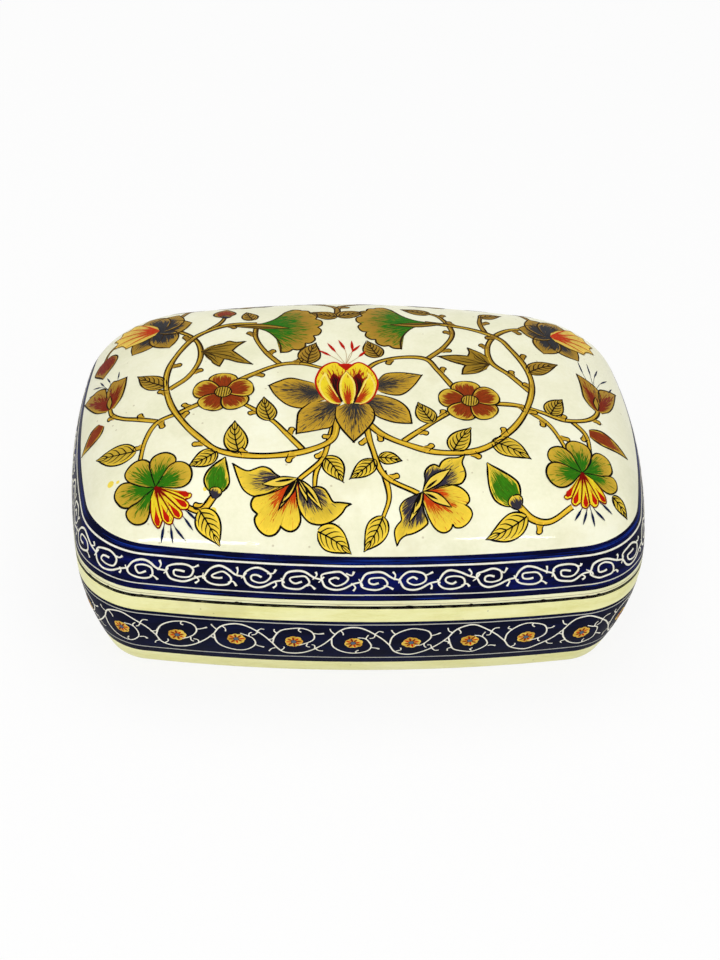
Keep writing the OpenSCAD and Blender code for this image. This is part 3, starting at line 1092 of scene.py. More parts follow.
class BOX_OT_rim_collar(Operator):
    """Build the pasteboard collar inside the tray's rim"""

    bl_idname = "papier_box.rim_collar"
    bl_label = "Collar"

    def execute(self, context):
        box, form = shape(), context.scene.box_form
        edge = form.collar_edge
        outer = form.wall + form.collar_gap
        inner, top = outer + form.collar_t, box.collar_high - edge
        heights = np.linspace(box.collar_low, top, 4)
        shell = Shell()
        shell.add([level(box, outer, z) for z in heights], "black")
        shell.add(arc_levels(box, outer + edge, top, edge, 180, 90, 5)[1:], "black")
        shell.add(arc_levels(box, inner - edge, top, edge, 90, 0, 5), "black")
        shell.add([level(box, inner, z) for z in heights[-2::-1]], "black")
        piece = shell.build("rim_collar_lacquered", ["black"], closed=True)
        settle(piece, "base", "collar_lacquer", "rim_collar")
        return {"FINISHED"}


class BOX_OT_lid_shell(Operator):
    """Build the lacquered lid: ivory panel, blue border, ivory edge and dark inside"""

    bl_idname = "papier_box.lid_shell"
    bl_label = "Lid"

    # The leans nearest to the crown that the ceiling and the outside have rings at, in degrees
    LAST_INSIDE = 89.2
    LAST_OUTSIDE = 89.6

    def execute(self, context):
        box, form, plan = shape(), context.scene.box_form, context.scene.paint_plan
        rim_r, skin = form.rim_r, form.skin
        rim_z = box.lid_rim + rim_r
        spring = box.collar_high + form.top_gap
        ceiling = box.rise + skin - form.wall
        rebate = form.wall + form.collar_gap - form.collar_fit
        shell = Shell()
        inside = np.linspace(math.radians(self.LAST_INSIDE), box.lean_at(spring, ceiling), 40)
        shell.add([crown_level(box, lean, form.wall, ceiling) for lean in inside], "black")
        shell.add([level(box, rebate, spring)], "black")
        shell.add(arc_levels(box, rebate - rim_r, rim_z, rim_r, 0, -90, 5), "black")
        rim = arc_levels(box, skin + rim_r, rim_z, rim_r, -90, -180, 6)
        shell.add(rim[:4], "black")
        shell.add(rim[4:5], "edge_ivory")
        blue, panel, start = box.lean_at(np.array([plan.lid_blue_z, plan.panel_z, rim_z + 0.6 * rim_r]),
                                         box.rise)
        for lean in sorted({blue, panel, *np.linspace(start, math.radians(self.LAST_OUTSIDE), 110)}):
            zone = "edge_ivory" if lean < blue else "blue" if lean < panel else "ivory"
            shell.add([crown_level(box, lean, skin, box.rise)], zone)
        piece = shell.build("lid_shell_lacquered", ["black", "edge_ivory", "blue", "ivory"])
        settle(piece, "lid", "lid_lacquer", "lid_shell")
        return {"FINISHED"}


# How far the borders' lines and curls lie off the ground, in millimetres
BORDER_LIFT = 0.03


def band_line(coat, box, height, width, bead=0.02, paint=ENAMEL):
    """A ruled line round the box, closed on itself, with a hand's slight waver."""
    around = np.linspace(0, box.perimeter / MM, 901)
    waver = 0.03 * np.sin(around / 7.3) + 0.024 * np.sin(around / 2.9 + 1)
    waver[-1] = waver[0]
    coat.ribbon(np.column_stack([around, height / MM + waver]), width, BORDER_LIFT, paint, bead, step=0.6)


def wobble(points, rng, amount):
    """Given points, each moved a little."""
    return spot(points) + rng.normal(0, amount, np.shape(points))


class BOX_OT_lid_border(Operator):
    """Paint the white lines and the running scroll on the lid's blue border"""

    bl_idname = "papier_box.lid_border"
    bl_label = "Lid border"

    # The bay for which the curl is drawn, and where the first bay's middle lies
    BAY = 9.9
    FIRST = 2.4
    # One curl, in millimetres about the middle of its bay; every second curl is turned upside down.
    VINE = [(-3.8, -0.3), (-2.7, 1.8), (-0.7, 2.75), (1.6, 2.35), (4.0, 1.0), (6.1, 0.3)]
    CURL = [(-3.8, -0.3), (-3.5, -1.5), (-1.9, -2.5), (0.4, -2.7), (2.3, -2.0), (3.0, -0.7), (2.1, 0.8),
            (0.2, 1.35), (-1.6, 0.7), (-1.7, -0.5), (-0.4, -1.0), (0.8, -0.5)]
    TAIL = [(2.5, -1.8), (3.6, -1.6), (4.4, -2.6)]
    TICK = [(4.2, 2.6), (4.7, 1.7), (4.0, 0.6)]
    SPUR = [(6.6, 1.2), (6.2, 0.6), (5.6, -0.5)]
    # Each stroke: its points, its widths, how much the hand wanders and how many of its ends stay put
    STROKES = [(VINE, [0.5, 0.6, 0.56, 0.46], 0.12, 2), (CURL, [0.46, 0.56, 0.5, 0.44, 0.6], 0.16, 1),
               (TAIL, [0.44, 0.38, 0.66], 0.22, 0), (TICK, [0.6, 0.36, 0.4], 0.22, 0),
               (SPUR, [0.5, 0.36, 0.3], 0.2, 0)]
    # Streaks in the ground: darker blue brush streaks, and brighter blue ones that are painted highlight on
    # the lacquer. How many, and the two paints
    STREAKS = 150
    STREAK_DARK = srgb(4, 12, 72)
    STREAK_HIGHLIGHT = srgb(20, 54, 158)

    def execute(self, context):
        box, plan = shape(), context.scene.paint_plan
        coat = Coat(box.lid_band)
        rng = np.random.default_rng(plan.seed)
        band_line(coat, box, plan.lid_line_high, 0.52)
        band_line(coat, box, plan.lid_line_low, 0.36, paint=blend(ENAMEL, GREY_BLUE, 0.25))
        band_line(coat, box, plan.lid_blue_z - 0.0011, 0.12, bead=0.004, paint=srgb(150, 142, 104))
        for _ in range(self.STREAKS):
            self.streak(coat, box, plan, rng)
        pitch = box.perimeter / MM / plan.scroll_bays
        for k in range(plan.scroll_bays):
            middle = np.array([self.FIRST + k * pitch, plan.lid_scroll_z / MM])
            stretch = np.array([pitch / self.BAY, -1 if k % 2 else 1])
            for path, width, amount, held in self.STROKES:
                moved = wobble(path, rng, amount)
                for end in (0, -1)[:held]:
                    moved[end] = path[end]
                coat.ribbon(middle + moved * stretch, width, BORDER_LIFT, ENAMEL, bead=0.05, step=0.3)
        settle(coat.build("lid_border_scroll", look("enamel")), "lid", "lid_lacquer")
        return {"FINISHED"}

    def streak(self, coat, box, plan, rng):
        """One long thin streak in the blue, above the upper line or below the lower one; the brighter ones
        are painted highlight.
        """
        start, size = rng.uniform(0, box.perimeter / MM), rng.uniform(6, 26)
        if rng.random() < 0.75:
            height = rng.uniform(plan.lid_line_high / MM + 0.7, plan.panel_z / MM - 0.7)
        else:
            height = rng.uniform(plan.lid_blue_z / MM + 0.5, plan.lid_line_low / MM - 0.6)
        path = [(start, height), (start + size * 0.5, height + rng.uniform(-0.1, 0.1)),
                (start + size, height)]
        width = [0.03, rng.uniform(0.1, 0.34), 0.03]
        paint = blend(self.STREAK_DARK, self.STREAK_HIGHLIGHT, rng.uniform(0, 1) ** 1.5)
        coat.ribbon(path, width, 0.012, paint, 0.002, 1.2)


class BOX_OT_base_border(Operator):
    """Paint the lines, the thorned vine and the small flowers on the base's border"""

    bl_idname = "papier_box.base_border"
    bl_label = "Base border"

    # The bay for which the vine is drawn, and where the first bay's middle lies
    BAY = 14.7
    FIRST = -2.4
    PETAL_LIGHT = srgb(238, 204, 88)
    PETAL_DARK = srgb(206, 156, 52)
    # The vine and its thorns, in millimetres about the middle of a bay; every second one is upside down.
    VINE = [(-5.4, 1.5), (-4.0, 4.3), (-2.0, 5.9), (0.8, 6.2), (3.7, 4.8), (7.0, 1.7), (9.3, -1.5)]
    LOOP = [(-5.4, 1.5), (-4.9, -1.8), (-3.2, -4.4), (-0.4, -5.6), (2.0, -5.5), (4.1, -4.3), (4.9, -2.2),
            (4.3, 0.0), (2.8, 1.5), (1.2, 2.0)]
    HOOK = [(4.8, -2.9), (6.0, -3.0), (7.1, -3.6)]
    THORNS = [[(-4.6, 3.5), (-5.6, 4.4), (-6.0, 5.6)], [(-3.4, 4.9), (-2.6, 3.8), (-2.5, 2.9)],
              [(5.4, 3.4), (5.0, 2.0), (4.2, 1.6)], [(5.4, 3.4), (6.3, 4.5), (7.4, 4.6)],
              [(8.2, 0.1), (9.3, 0.5), (9.7, 1.5)], [(-4.2, -3.3), (-5.1, -4.1), (-5.0, -5.0)],
              [(1.2, -5.6), (1.0, -4.7), (1.6, -4.0)], [(3.3, 1.1), (3.3, 2.3), (4.0, 3.0)]]

    def execute(self, context):
        box, plan = shape(), context.scene.paint_plan
        coat = Coat(box.base_band)
        brush = Brush(box.base_band, plan.seed + 1)
        rng = np.random.default_rng(plan.seed + 2)
        silver = blend(ENAMEL, GREY_BLUE, 0.45)
        band_line(coat, box, plan.base_line_high, 0.34, paint=silver)
        band_line(coat, box, plan.base_line_low, 0.36, paint=silver)
        pitch = box.perimeter / MM / plan.vine_bays

        def draw(points, width, step=0.4):
            coat.ribbon(middle + points * stretch, width, BORDER_LIFT, ENAMEL, bead=0.04, step=step)

        for k in range(plan.vine_bays):
            middle = np.array([self.FIRST + k * pitch, plan.base_vine_z / MM])
            stretch = np.array([pitch / self.BAY, -1 if k % 2 else 1])
            vine = wobble(self.VINE, rng, 0.14)
            vine[0], vine[-1] = self.VINE[0], self.VINE[-1]
            draw(vine, [0.4, 0.5, 0.43, 0.38])
            loop = wobble(self.LOOP, rng, 0.16)
            loop[0] = self.LOOP[0]
            draw(loop, [0.42, 0.43, 0.36, 0.4, 0.33])
            draw(wobble(self.HOOK, rng, 0.2), [0.38, 0.32, 0.56], 0.3)
            for thorn in self.THORNS:
                if rng.random() < 0.8:
                    draw(wobble(thorn, rng, 0.12), [0.4, 0.3, 0.34], 0.3)
            self.rosette(brush, middle + [0, -0.5] + rng.normal(0, 0.15, 2), rng.uniform(0, 60))
        settle(coat.build("base_border_vine", look("enamel")), "base", "base_lacquer")
        settle(brush.fill.build("base_flowers", look("paint")), "base", "gold_paint")
        settle(brush.line.build("base_flower_strokes", look("lines")), "base", "base_lacquer")
        return {"FINISHED"}

    def rosette(self, brush, centre, turn):
        """A small gold flower with red strokes between its petals and a grey-blue eye."""
        for k in range(8):
            aim = toward(turn + k * 45)
            petal = blend(self.PETAL_LIGHT, self.PETAL_DARK, brush.rng.uniform(0, 1))
            brush.blade(centre + aim * 0.3, centre + aim * brush.rng.uniform(2.2, 2.6), 1.9,
                        0.03 + 0.005 * (k % 3), ROUND, petal, edge=0, rows=7, columns=5)
            brush.line.ribbon([centre + aim * 0.7, centre + aim * brush.rng.uniform(1.7, 2.3)],
                              [0.3, 0.66, 0.56, 0.16], 0.055, RED_BROWN if k % 3 else ORANGE_RED, step=0.3)
        brush.disc(centre, 0.72, 0.065, GREY_BLUE, edge=0.14)


class BOX_OT_lid_panel(Operator):
    """Paint the scrolling branches, leaves and flowers on the lid's ivory panel"""

    bl_idname = "papier_box.lid_panel"
    bl_label = "Lid panel"

    # Branches: points, thickness at the root, how many stubs they bear, and which layer they lie in
    BRANCHES = [
        ([(-7, -18), (-8.5, -25), (-14, -28.5), (-21, -30), (-29, -30), (-37, -28), (-42, -23), (-46, -17),
          (-49.5, -9), (-51, 0), (-50, 8), (-46, 16.5), (-42, 21), (-35, 24.5), (-27, 25)], 1.7, 9, 2),
        ([(-16, -28.5), (-20, -23), (-24, -17.5), (-33, -9)], 1.4, 2, 0),
        ([(-40, -9), (-47, -12.5), (-53, -15), (-56, -20.5), (-57.5, -28)], 1.4, 3, 1),
        ([(-53, -14.5), (-58, -12), (-62.5, -9.5), (-66, -6), (-67, -2)], 1.3, 2, 0),
        ([(-33, -2), (-22.5, 4.5), (-16, 5.5), (-10, 3.5)], 1.4, 2, 1),
        ([(-21, 5), (-25, 11), (-27.5, 18), (-27, 25)], 1.3, 2, 0),
        ([(-50, -2.5), (-45, 2), (-42, 10), (-43.5, 18.5), (-50, 26)], 1.4, 2, 0),
        ([(-8, -20), (-9.5, -26), (-11.5, -32), (-18, -38)], 1.4, 1, 1),
        ([(-11.5, -32), (-13, -36), (-13.5, -41)], 1.2, 0, 0),
        ([(-38.5, -40), (-42.5, -43.5), (-47, -42)], 1.6, 1, 0),
        ([(0, -18), (4, -23), (10, -26.5), (18.5, -29), (29, -27.5), (37, -20.5), (42, -11.5), (44.5, -1.5),
          (43.5, 7), (40, 15), (37, 19.5), (29, 23.5), (18, 26)], 1.7, 9, 2),
        ([(9.5, -25.5), (15, -20.5), (25, -11.5)], 1.4, 2, 0),
        ([(34, -10), (40, -10), (46, -11.5), (52, -13), (58, -11), (62, -7), (63.5, -2)], 1.4, 3, 1),
        ([(43, -12), (48, -16.5), (52, -25)], 1.3, 2, 0),
        ([(54, -12.5), (58, -17), (58.5, -25)], 1.3, 1, 0),
        ([(24.5, -6), (20, 3), (17, 8), (10.5, 8.5), (4, 6), (0, 1)], 1.4, 2, 1),
        ([(17.5, 8), (22.5, 14), (25, 21), (22, 30), (17, 33)], 1.3, 3, 0),
        ([(44, -4), (39, 2.5), (34.5, 7.5), (34, 14.5), (37, 21), (43, 25.5), (51, 25.5)], 1.5, 3, 0),
        ([(0, -18), (1.5, -28), (4.5, -36.5), (13, -41)], 1.5, 2, 1),
        ([(4, -35), (5.5, -42), (4, -47.5)], 1.3, 0, 0),
        ([(38.5, -42), (43, -45), (48, -45), (53, -41)], 1.6, 1, 0),
        ([(-41, 21.5), (-37, 26), (-35.5, 30)], 1.2, 0, 0),
        ([(34, 21.5), (33, 27), (34, 33)], 1.2, 1, 0),
        ([(-60, 27), (-65, 28.2), (-68.8, 27), (-70.4, 23.6)], 1.1, 0, 0),
        ([(-5.5, 28.5), (-6, 36), (-14, 42), (-22, 44)], 1.4, 2, 0),
        ([(-5.5, 28.5), (-4, 37), (6, 43), (14, 45)], 1.4, 2, 0),
        ([(-48, 33), (-44, 41), (-38, 45)], 1.3, 1, 0),
        ([(48, 33), (44, 41), (38, 45)], 1.3, 1, 0),
    ]
    # Leaves: base, tip and width
    LEAVES = [
        ((-51, -1), (-59, 6.5), 6.5), ((-58.5, -23.5), (-71, -20), 8), ((-37.5, -28), (-45, -32), 6),
        ((-32, -29), (-33, -17.5), 7), ((-24, -18), (-25.5, -8.5), 6), ((-10.5, -31), (-6, -38.5), 6.5),
        ((-13.4, -50.6), (-4.5, -56.6), 8.2), ((-43, -43.5), (-40, -52), 7.5), ((-14, 5.5), (-11.5, 15), 7),
        ((17.5, -18.5), (14, -10.5), 6), ((22, -28.5), (27, -20), 6.5), ((32, -24.5), (42, -29.5), 7.5),
        ((44, 4.5), (53, 11), 6), ((48.5, -12), (52.5, -4.5), 6), ((2, -31.5), (-4.5, -37.5), 5.5),
        ((3, -31), (9, -32), 4.5), ((4, -47), (-1, -56), 7), ((41.5, -44.5), (32, -51), 7.5),
        ((64.5, -35), (70.5, -39), 4.4), ((5, 8.5), (2, 16), 6), ((-5.5, 28.5), (-13, 31.5), 5.5),
        ((-5.5, 28.5), (2.5, 31.5), 5.5), ((20, 32), (12, 35), 5), ((33.5, 31), (40, 34), 5),
        ((-28, 27), (-30, 33), 5), ((-12, 41), (-8, 48), 6), ((4, 42), (2, 50), 6),
              ((-44, 41), (-52, 42), 6),
        ((44, 41), (52, 42), 6), ((-38, 45), (-33, 38), 6), ((38, 45), (31, 41), 6),
    ]

    # Slips of yellow paint on the ivory: place and radius
    DABS = [((-66, -31.5), 1.0), ((-63.8, -31.8), 0.5), ((-39.5, -43.8), 0.8), ((-41, -38.5), 0.5),
            ((60, -14), 0.5)]

    # Lily lobes about the flower's root; the middle one in each list is the red-throated one
    LILY_LEFT = [
        [(-3.5, 0), (-5.5, 1.4), (-7, 3), (-8.7, 3.6), (-10.5, 3.1), (-12, 2.6), (-13.5, 3), (-16, 4.8),
         (-16, 4.8), (-15, 0.8), (-14, -2), (-12.6, -3.5), (-11, -4.2), (-9, -4), (-6.2, -3), (-3, -1.6)],
        [(-3.4, -2.2), (-6.5, -3.4), (-9.5, -4), (-11.2, -4.3), (-12.2, -5.7), (-12.1, -7.2), (-10.9, -8.5),
         (-10.9, -8.5), (-11.8, -9.4), (-11.8, -11), (-10.9, -12.7), (-9.3, -13.8), (-7.4, -13.7),
         (-6, -12.7), (-5.4, -11.8), (-5.4, -11.8), (-4.3, -12.8), (-2.8, -13.2), (-1.2, -12.6), (-0.1, -11),
         (0, -9), (-0.4, -6.5), (-0.5, -3)],
        [(1, -1.6), (2.2, -2.7), (3.6, -2.6), (5, -2.4), (6.6, -3), (7.6, -4.4), (8.4, -6), (9, -6.6),
         (9, -6.6), (10.5, -6.6), (13.4, -7), (13.4, -7), (12, -7.8), (11, -9.2), (9.2, -10.7), (7.3, -11.6),
         (5, -12), (2.6, -11.5), (1, -10), (0, -8), (-0.5, -5.5), (-0.5, -2.5)],
    ]
    LILY_RIGHT = [
        [(0.6, 3), (0.5, 5), (1.4, 6.7), (2.9, 7.6), (4.2, 7), (4.2, 7), (5, 8.6), (6.6, 9.7), (9, 10),
         (11, 11.2), (11, 11.2), (10.1, 8.6), (10.7, 6.5), (10.9, 4.6), (9.8, 2.6), (7.5, 2), (5.5, 1.4),
         (2.5, 0.6)],
        [(2.6, 0.8), (5.3, 1.9), (7.6, 2.2), (9.9, 1.5), (11.6, 0), (12.1, -1.6), (11.3, -2.7), (11.3, -2.7),
         (12.6, -3.6), (13.2, -5), (12.5, -6.8), (11, -8.1), (9.2, -8.3), (8.4, -7.4), (8.4, -7.4),
         (8.2, -8.7), (6.9, -9.7), (5.2, -9.6), (3.5, -8.5), (2, -6.5), (1, -4.5), (0, -2)],
        [(-2.5, -1.2), (-4.5, -2.4), (-5.6, -4.2), (-5.2, -6), (-5, -7.3), (-5.9, -8.4), (-6.6, -9.8),
         (-6.4, -11.6), (-5.6, -13.8), (-5.6, -13.8), (-4.9, -12.1), (-3.5, -11), (-1.8, -10.5), (0, -9.6),
         (1.5, -8.4), (2, -7.4), (0.8, -5), (0.2, -2.5)],
    ]
    TULIP_LEFT = [
        [(-1.5, 5), (-1.2, 9), (0.4, 12), (2, 11.5), (4.8, 11.2), (4.8, 11.2), (4.4, 6.5), (3.4, 2.6),
         (1.4, -0.4)],
        [(-1, 6), (-1.8, 11), (-1.8, 11), (-5, 13), (-11, 13.6), (-11, 13.6), (-8, 7.6), (-4.6, 2.4),
         (-1, -0.2)],
    ]
    TULIP_RIGHT = [
        [(-0.8, -0.6), (-2.6, 1), (-4, 4), (-4.2, 9), (-4.8, 13.8), (-4.8, 13.8), (-2, 12.6), (0.6, 11),
         (1.6, 9.4), (1.4, 5)],
        [(1, 4), (1.5, 9.6), (3.6, 11.8), (8.6, 14.4), (8.6, 14.4), (6.6, 7.6), (4.2, 2.6), (1.2, -0.4)],
    ]
    TREFOIL_LEFT = [(1.6, 1.4), (3.5, 2.4), (5.6, 2.6), (7.4, 3.9), (9.2, 3.2), (11.8, 3.4), (11.8, 3.4),
                    (9.8, 1.4), (8.4, -0.6), (8.4, -0.6), (10, -2.6), (13.5, -7), (13.5, -7), (10, -6),
                    (7.4, -4.6), (6.2, -4.2), (6.2, -4.2), (5.6, -6), (5, -7.4), (5, -7.4), (3.4, -5.8),
                    (2.6, -3.8), (1, -1.2)]
    TREFOIL_RIGHT = [(-0.4, 3), (-2, 5), (-5.5, 7.2), (-5.5, 7.2), (-5.2, 5), (-5.8, 3.4), (-5.8, 3.4),
                     (-9, 3.6), (-13.5, 2.8), (-13.5, 2.8), (-10, 0.6), (-6.6, -0.8), (-6.6, -0.8),
                     (-7.4, -2.4), (-7.8, -4.8), (-7.8, -4.8), (-4, -4), (-1, -1.8)]
    HORN = [(0.6, 2.4), (3.4, 6), (8, 10), (8, 10), (9.4, 8), (11.6, 8.6), (11.6, 8.6), (11.8, 5.6),
            (14, 4.8), (14, 4.8), (12.6, 2.6), (13.6, 0.4), (13.6, 0.4), (11, -0.8), (9.6, -3.4),
            (9.6, -3.4), (5, -3.4), (1.2, -2)]
    FAN = [(1, 0.8), (4, 1.8), (7, 4.2), (9.5, 8.3), (9.5, 8.3), (11.5, 10.3), (13.5, 10), (13.9, 9.4),
           (13.9, 9.4), (15.6, 9.2), (16.3, 7.3), (16.3, 7.3), (18, 6.6), (18, 4.6), (17.6, 3.6),
           (17.6, 3.6), (19.2, 2.4), (19.2, 0.2), (18.1, -1), (18.1, -1), (19, -2.6), (18.2, -4.8),
           (16.8, -5.2), (16.8, -5.2), (17.2, -7.2), (15.9, -8.8), (14.6, -8.8), (14.6, -8.8), (14.4, -10.6),
           (12.8, -11.9), (11.2, -11.6), (11.2, -11.6), (10, -12.8), (8, -13), (8, -13), (8, -10), (7, -6.6),
           (4.6, -3), (1.5, -1)]
    # Tulips: root, lobes and the stamens' tips
    TULIPS = [((-67, -3), TULIP_LEFT, [(-76, 11.5), (-74, 13.4), (-71.2, 13.4), (-68.6, 12.8),
                                       (-64.6, 12.6)]),
              ((63, -4.5), TULIP_RIGHT, [(59.5, 16), (62.5, 17), (66, 16.5), (69, 14), (70.5, 11.5)])]
    RED_BUDS = [((-70.3, 24), (-70.2, 14), 8.5, TULIP_RED), ((-69.5, -7.5), (-78, -13), 5.5, RED_BROWN),
                ((59, -15.5), (72, -17.5), 5.5, RED_BROWN)]
    # Three-pointed leaves: root, edge and the points that their veins run to
    TREFOILS = [((-42, 12.5), TREFOIL_LEFT, [(10.5, 2.4), (12.4, -6), (5, -6.4)]),
                ((34, 6.5), TREFOIL_RIGHT, [(-5, 6), (-12, 2.2), (-7, -4)])]
    # Lilies: root, lobes, the points that the side lobes are filled from, and each sliver's tip, width
    # and the share of its length at which its slit ends
    LILIES = [((-17.5, -37), LILY_LEFT, [(-9.5, -0.5), None, (6, -7)],
               [(-9.2, -1.2, 2.6, 0.62), (5.8, -8.2, 2.0, 0.8), (-4.6, -6.4, 1.9, 0.8), (-5.6, -8.2, 1.5, 0),
                (2.2, -6.6, 1.5, 0)]),
              ((14, -40.5), LILY_RIGHT, [(6.5, 5), None, (-3, -7)],
               [(7.8, -3.6, 2.4, 0.5), (7.2, 6.6, 2.6, 0.5), (-2.2, -5.8, 1.6, 0), (-3.2, -7.8, 1.6, 0.5)])]
    # The horned flowers' petals: tip and width
    HORN_PETALS = [(7.5, -8.5, 8), (-3, -10, 8), (-9, 1.5, 8), (-5, 9, 9), (3.5, 11, 9)]

    def execute(self, context):
        brush = Brush(shape().dome, context.scene.paint_plan.seed + 3)
        for path, width, stubs, layer in self.BRANCHES:
            brush.stem(path, width, stubs, 0.014 + 0.016 * layer)
        for base, tip, width in self.LEAVES:
            brush.leaf(base, tip, width * 0.84)
        self.side_flowers(brush)
        self.front_flowers(brush)
        self.back_flowers(brush)
        brush.lotus((-4.5, -12))
        for place, size in self.DABS:
            brush.disc(place, size, 0.012, blend(PALE_YELLOW, YELLOW, 0.4), edge=0)
        settle(brush.fill.build("lid_panel_paint", look("paint")), "lid", "gold_paint")
        settle(brush.line.build("lid_panel_strokes", look("lines")), "lid", "lid_lacquer")
        return {"FINISHED"}

    def side_flowers(self, brush):
        """The round flowers, the tulips, the red buds and the three-pointed leaves at the two ends."""
        brush.round_flower((-36, -6), 8.0, 90)
        brush.round_flower((27.5, -9.5), 8.2, 98)
        for root, lobes, stamens in self.TULIPS:
            root = spot(root)
            brush.whiskers(root + [0, 8], stamens, BLUE_BLACK, 0.5, lift=0.046)
            for k, lobe in enumerate(lobes):
                brush.lobe(root, lobe, 0.05 + 0.008 * k, shade=TULIP_RED, reach=1.0, rim=0.24)
            brush.sliver(root, root + [0, 6], 1.7, 0.08)
        for base, tip, width, paint in self.RED_BUDS:
            brush.bud(base, tip, width, paint, calyx=False)
        for root, edge, fingers in self.TREFOILS:
            root = spot(root)
            brush.lobe(root, edge, 0.04, blend(BRONZE, OLIVE_GOLD, 0.3), shade=INK_BACK, reach=0.3)
            for finger in spot(fingers):
                side = np.array([-finger[1], finger[0]])
                for offset, reach, width in ((0, 0.92, 0.4), (0.14, 0.7, 0.26), (-0.14, 0.66, 0.26)):
                    vein = [root + finger * 0.14, root + finger * 0.5 + side * (offset * 0.8 + 0.04),
                            root + finger * reach + side * offset * 0.6]
                    brush.line.ribbon(vein, [0.16, width, 0.12], 0.056, ink)

    def front_flowers(self, brush):
        """The trumpet flowers in the corners, the two lilies and the green buds along the front."""
        brush.trumpet_flower((-53.5, -36.5))
        brush.trumpet_flower((55.5, -31), 40, side=-1)
        for root, lobes, middles, slivers in self.LILIES:
            root = spot(root)
            for lobe, middle in zip(lobes, middles):
                if middle:
                    brush.lobe(root, lobe, 0.045, blend(GOLD_FRONT, OLIVE_GOLD, 0.25), shade=BLUE_BLACK,
                               reach=0.76, rows=14, middle=middle, firm=2.1)
                else:
                    brush.lobe(root, lobe, 0.06, shade=ORANGE_RED, reach=0.74, rows=14, spread=0.2, firm=1.8)
            for x, y, width, slit in slivers:
                brush.sliver(root, root + [x, y], width, 0.085, slit)
        brush.bud((-38.5, -39.5), (-35.5, -30), 6.4, GREEN)
        brush.bud((38, -41.5), (30.5, -31.5), 7.4, GREEN)

    def back_flowers(self, brush):
        """The fan leaves, the horned flowers in the back corners and the half-hidden lilies behind."""
        for root, side in (((-29, 23.5), 1), ((19, 25.5), -1)):
            root = spot(root)
            brush.lobe(root, spot(self.FAN) * [side, 1], 0.05, shade=GREEN, reach=1.02, rows=16,
                       middle=(side * 6, 0), firm=1.4, spread=0.2)
            brush.sliver(root - [side * 4, 0], root + [side * 10.5, -1.5], 2.2, 0.075, 0.8)
        for side, root in ((-1, (-53.5, 26.5)), (1, (52.5, 25))):
            root = spot(root)
            for k, (x, y, width) in enumerate(self.HORN_PETALS):
                brush.blade(root, root + [side * x, y], width, 0.045 + 0.016 * k, SEPAL, shade=SLATE,
                            reach=0.95, rim=0.2)
            plan = brush.lobe(root, spot(self.HORN) * [side, 1], 0.14, HORN_GOLD, shade=ORANGE_RED,
                              reach=0.62, edge=0.3, edge_ink=BRONZE)
            for share in (0.2, 0.34, 0.48, 0.62, 0.76):
                i = int(share * plan.shape[1])
                brush.line.ribbon(plan[[1, 5, -1], i], [0.3, 0.5, 0.4, 0.16], 0.155, ORANGE_RED)
        brush.bud((-35.5, 30), (-35.5, 37), 6, RED_BROWN)
        # The lilies behind are the right-hand lily, turned a quarter and a little smaller.
        turned = 0.8 * np.array([[0, 1], [-1, 0]])
        for root, side in (((-22, 43), -1), ((14, 44), 1)):
            for k, (lobe, middle) in enumerate(zip(self.LILY_RIGHT, self.LILIES[1][2])):
                middle = spot(middle) @ turned * [side, 1] if middle else None
                brush.lobe(root, spot(lobe) @ turned * [side, 1], 0.045 + 0.01 * (k % 2),
                           shade=ORANGE_RED if k == 1 else BLUE_BLACK, reach=0.8, rows=12, middle=middle)


class BOX_OT_wear(Operator):
    """Add the small chips of lacquer along the seam"""

    bl_idname = "papier_box.wear"
    bl_label = "Seam wear"

    CHIPS = 46
    DARK = srgb(54, 40, 22)
    BARE = srgb(206, 196, 150)

    def execute(self, context):
        box, plan = shape(), context.scene.paint_plan
        rng = np.random.default_rng(plan.seed + 5)
        round_box = box.perimeter / MM
        for name, body, surface, height in (("lid_seam_line", "lid", box.lid_band, box.lid_rim / MM + 0.12),
                                            ("base_seam_line", "base", box.base_band,
                                             box.base_top / MM - 0.12)):
            coat = Coat(surface)
            around = np.linspace(0, round_box, 301)
            uneven = rng.uniform(0.3, 0.52, len(around))
            uneven[-1] = uneven[0]
            coat.ribbon(np.column_stack([around, np.full(len(around), height)]), uneven, 0.01, INK, 0.002,
                        0.6)
            settle(coat.build(name, look("lines")), body, f"{body}_lacquer")
        coat = Coat(box.lid_band)
        edge = box.lid_rim / MM + 0.45
        for _ in range(self.CHIPS):
            start = rng.uniform(0, round_box)
            size = rng.uniform(0.4, 1.6) * (2 if rng.random() < 0.2 else 1)
            tall = rng.uniform(0.12, 0.36)
            path = [(start, edge), (start + size * 0.5, edge + tall * 0.4), (start + size, edge)]
            paint = self.DARK if rng.random() < 0.6 else self.BARE
            coat.ribbon(path, [0.08, tall, tall * 0.7, 0.06], 0.02, paint, 0.003, 0.25)
        settle(coat.build("lid_seam_chips", look("lines")), "lid", "lid_lacquer")
        return {"FINISHED"}


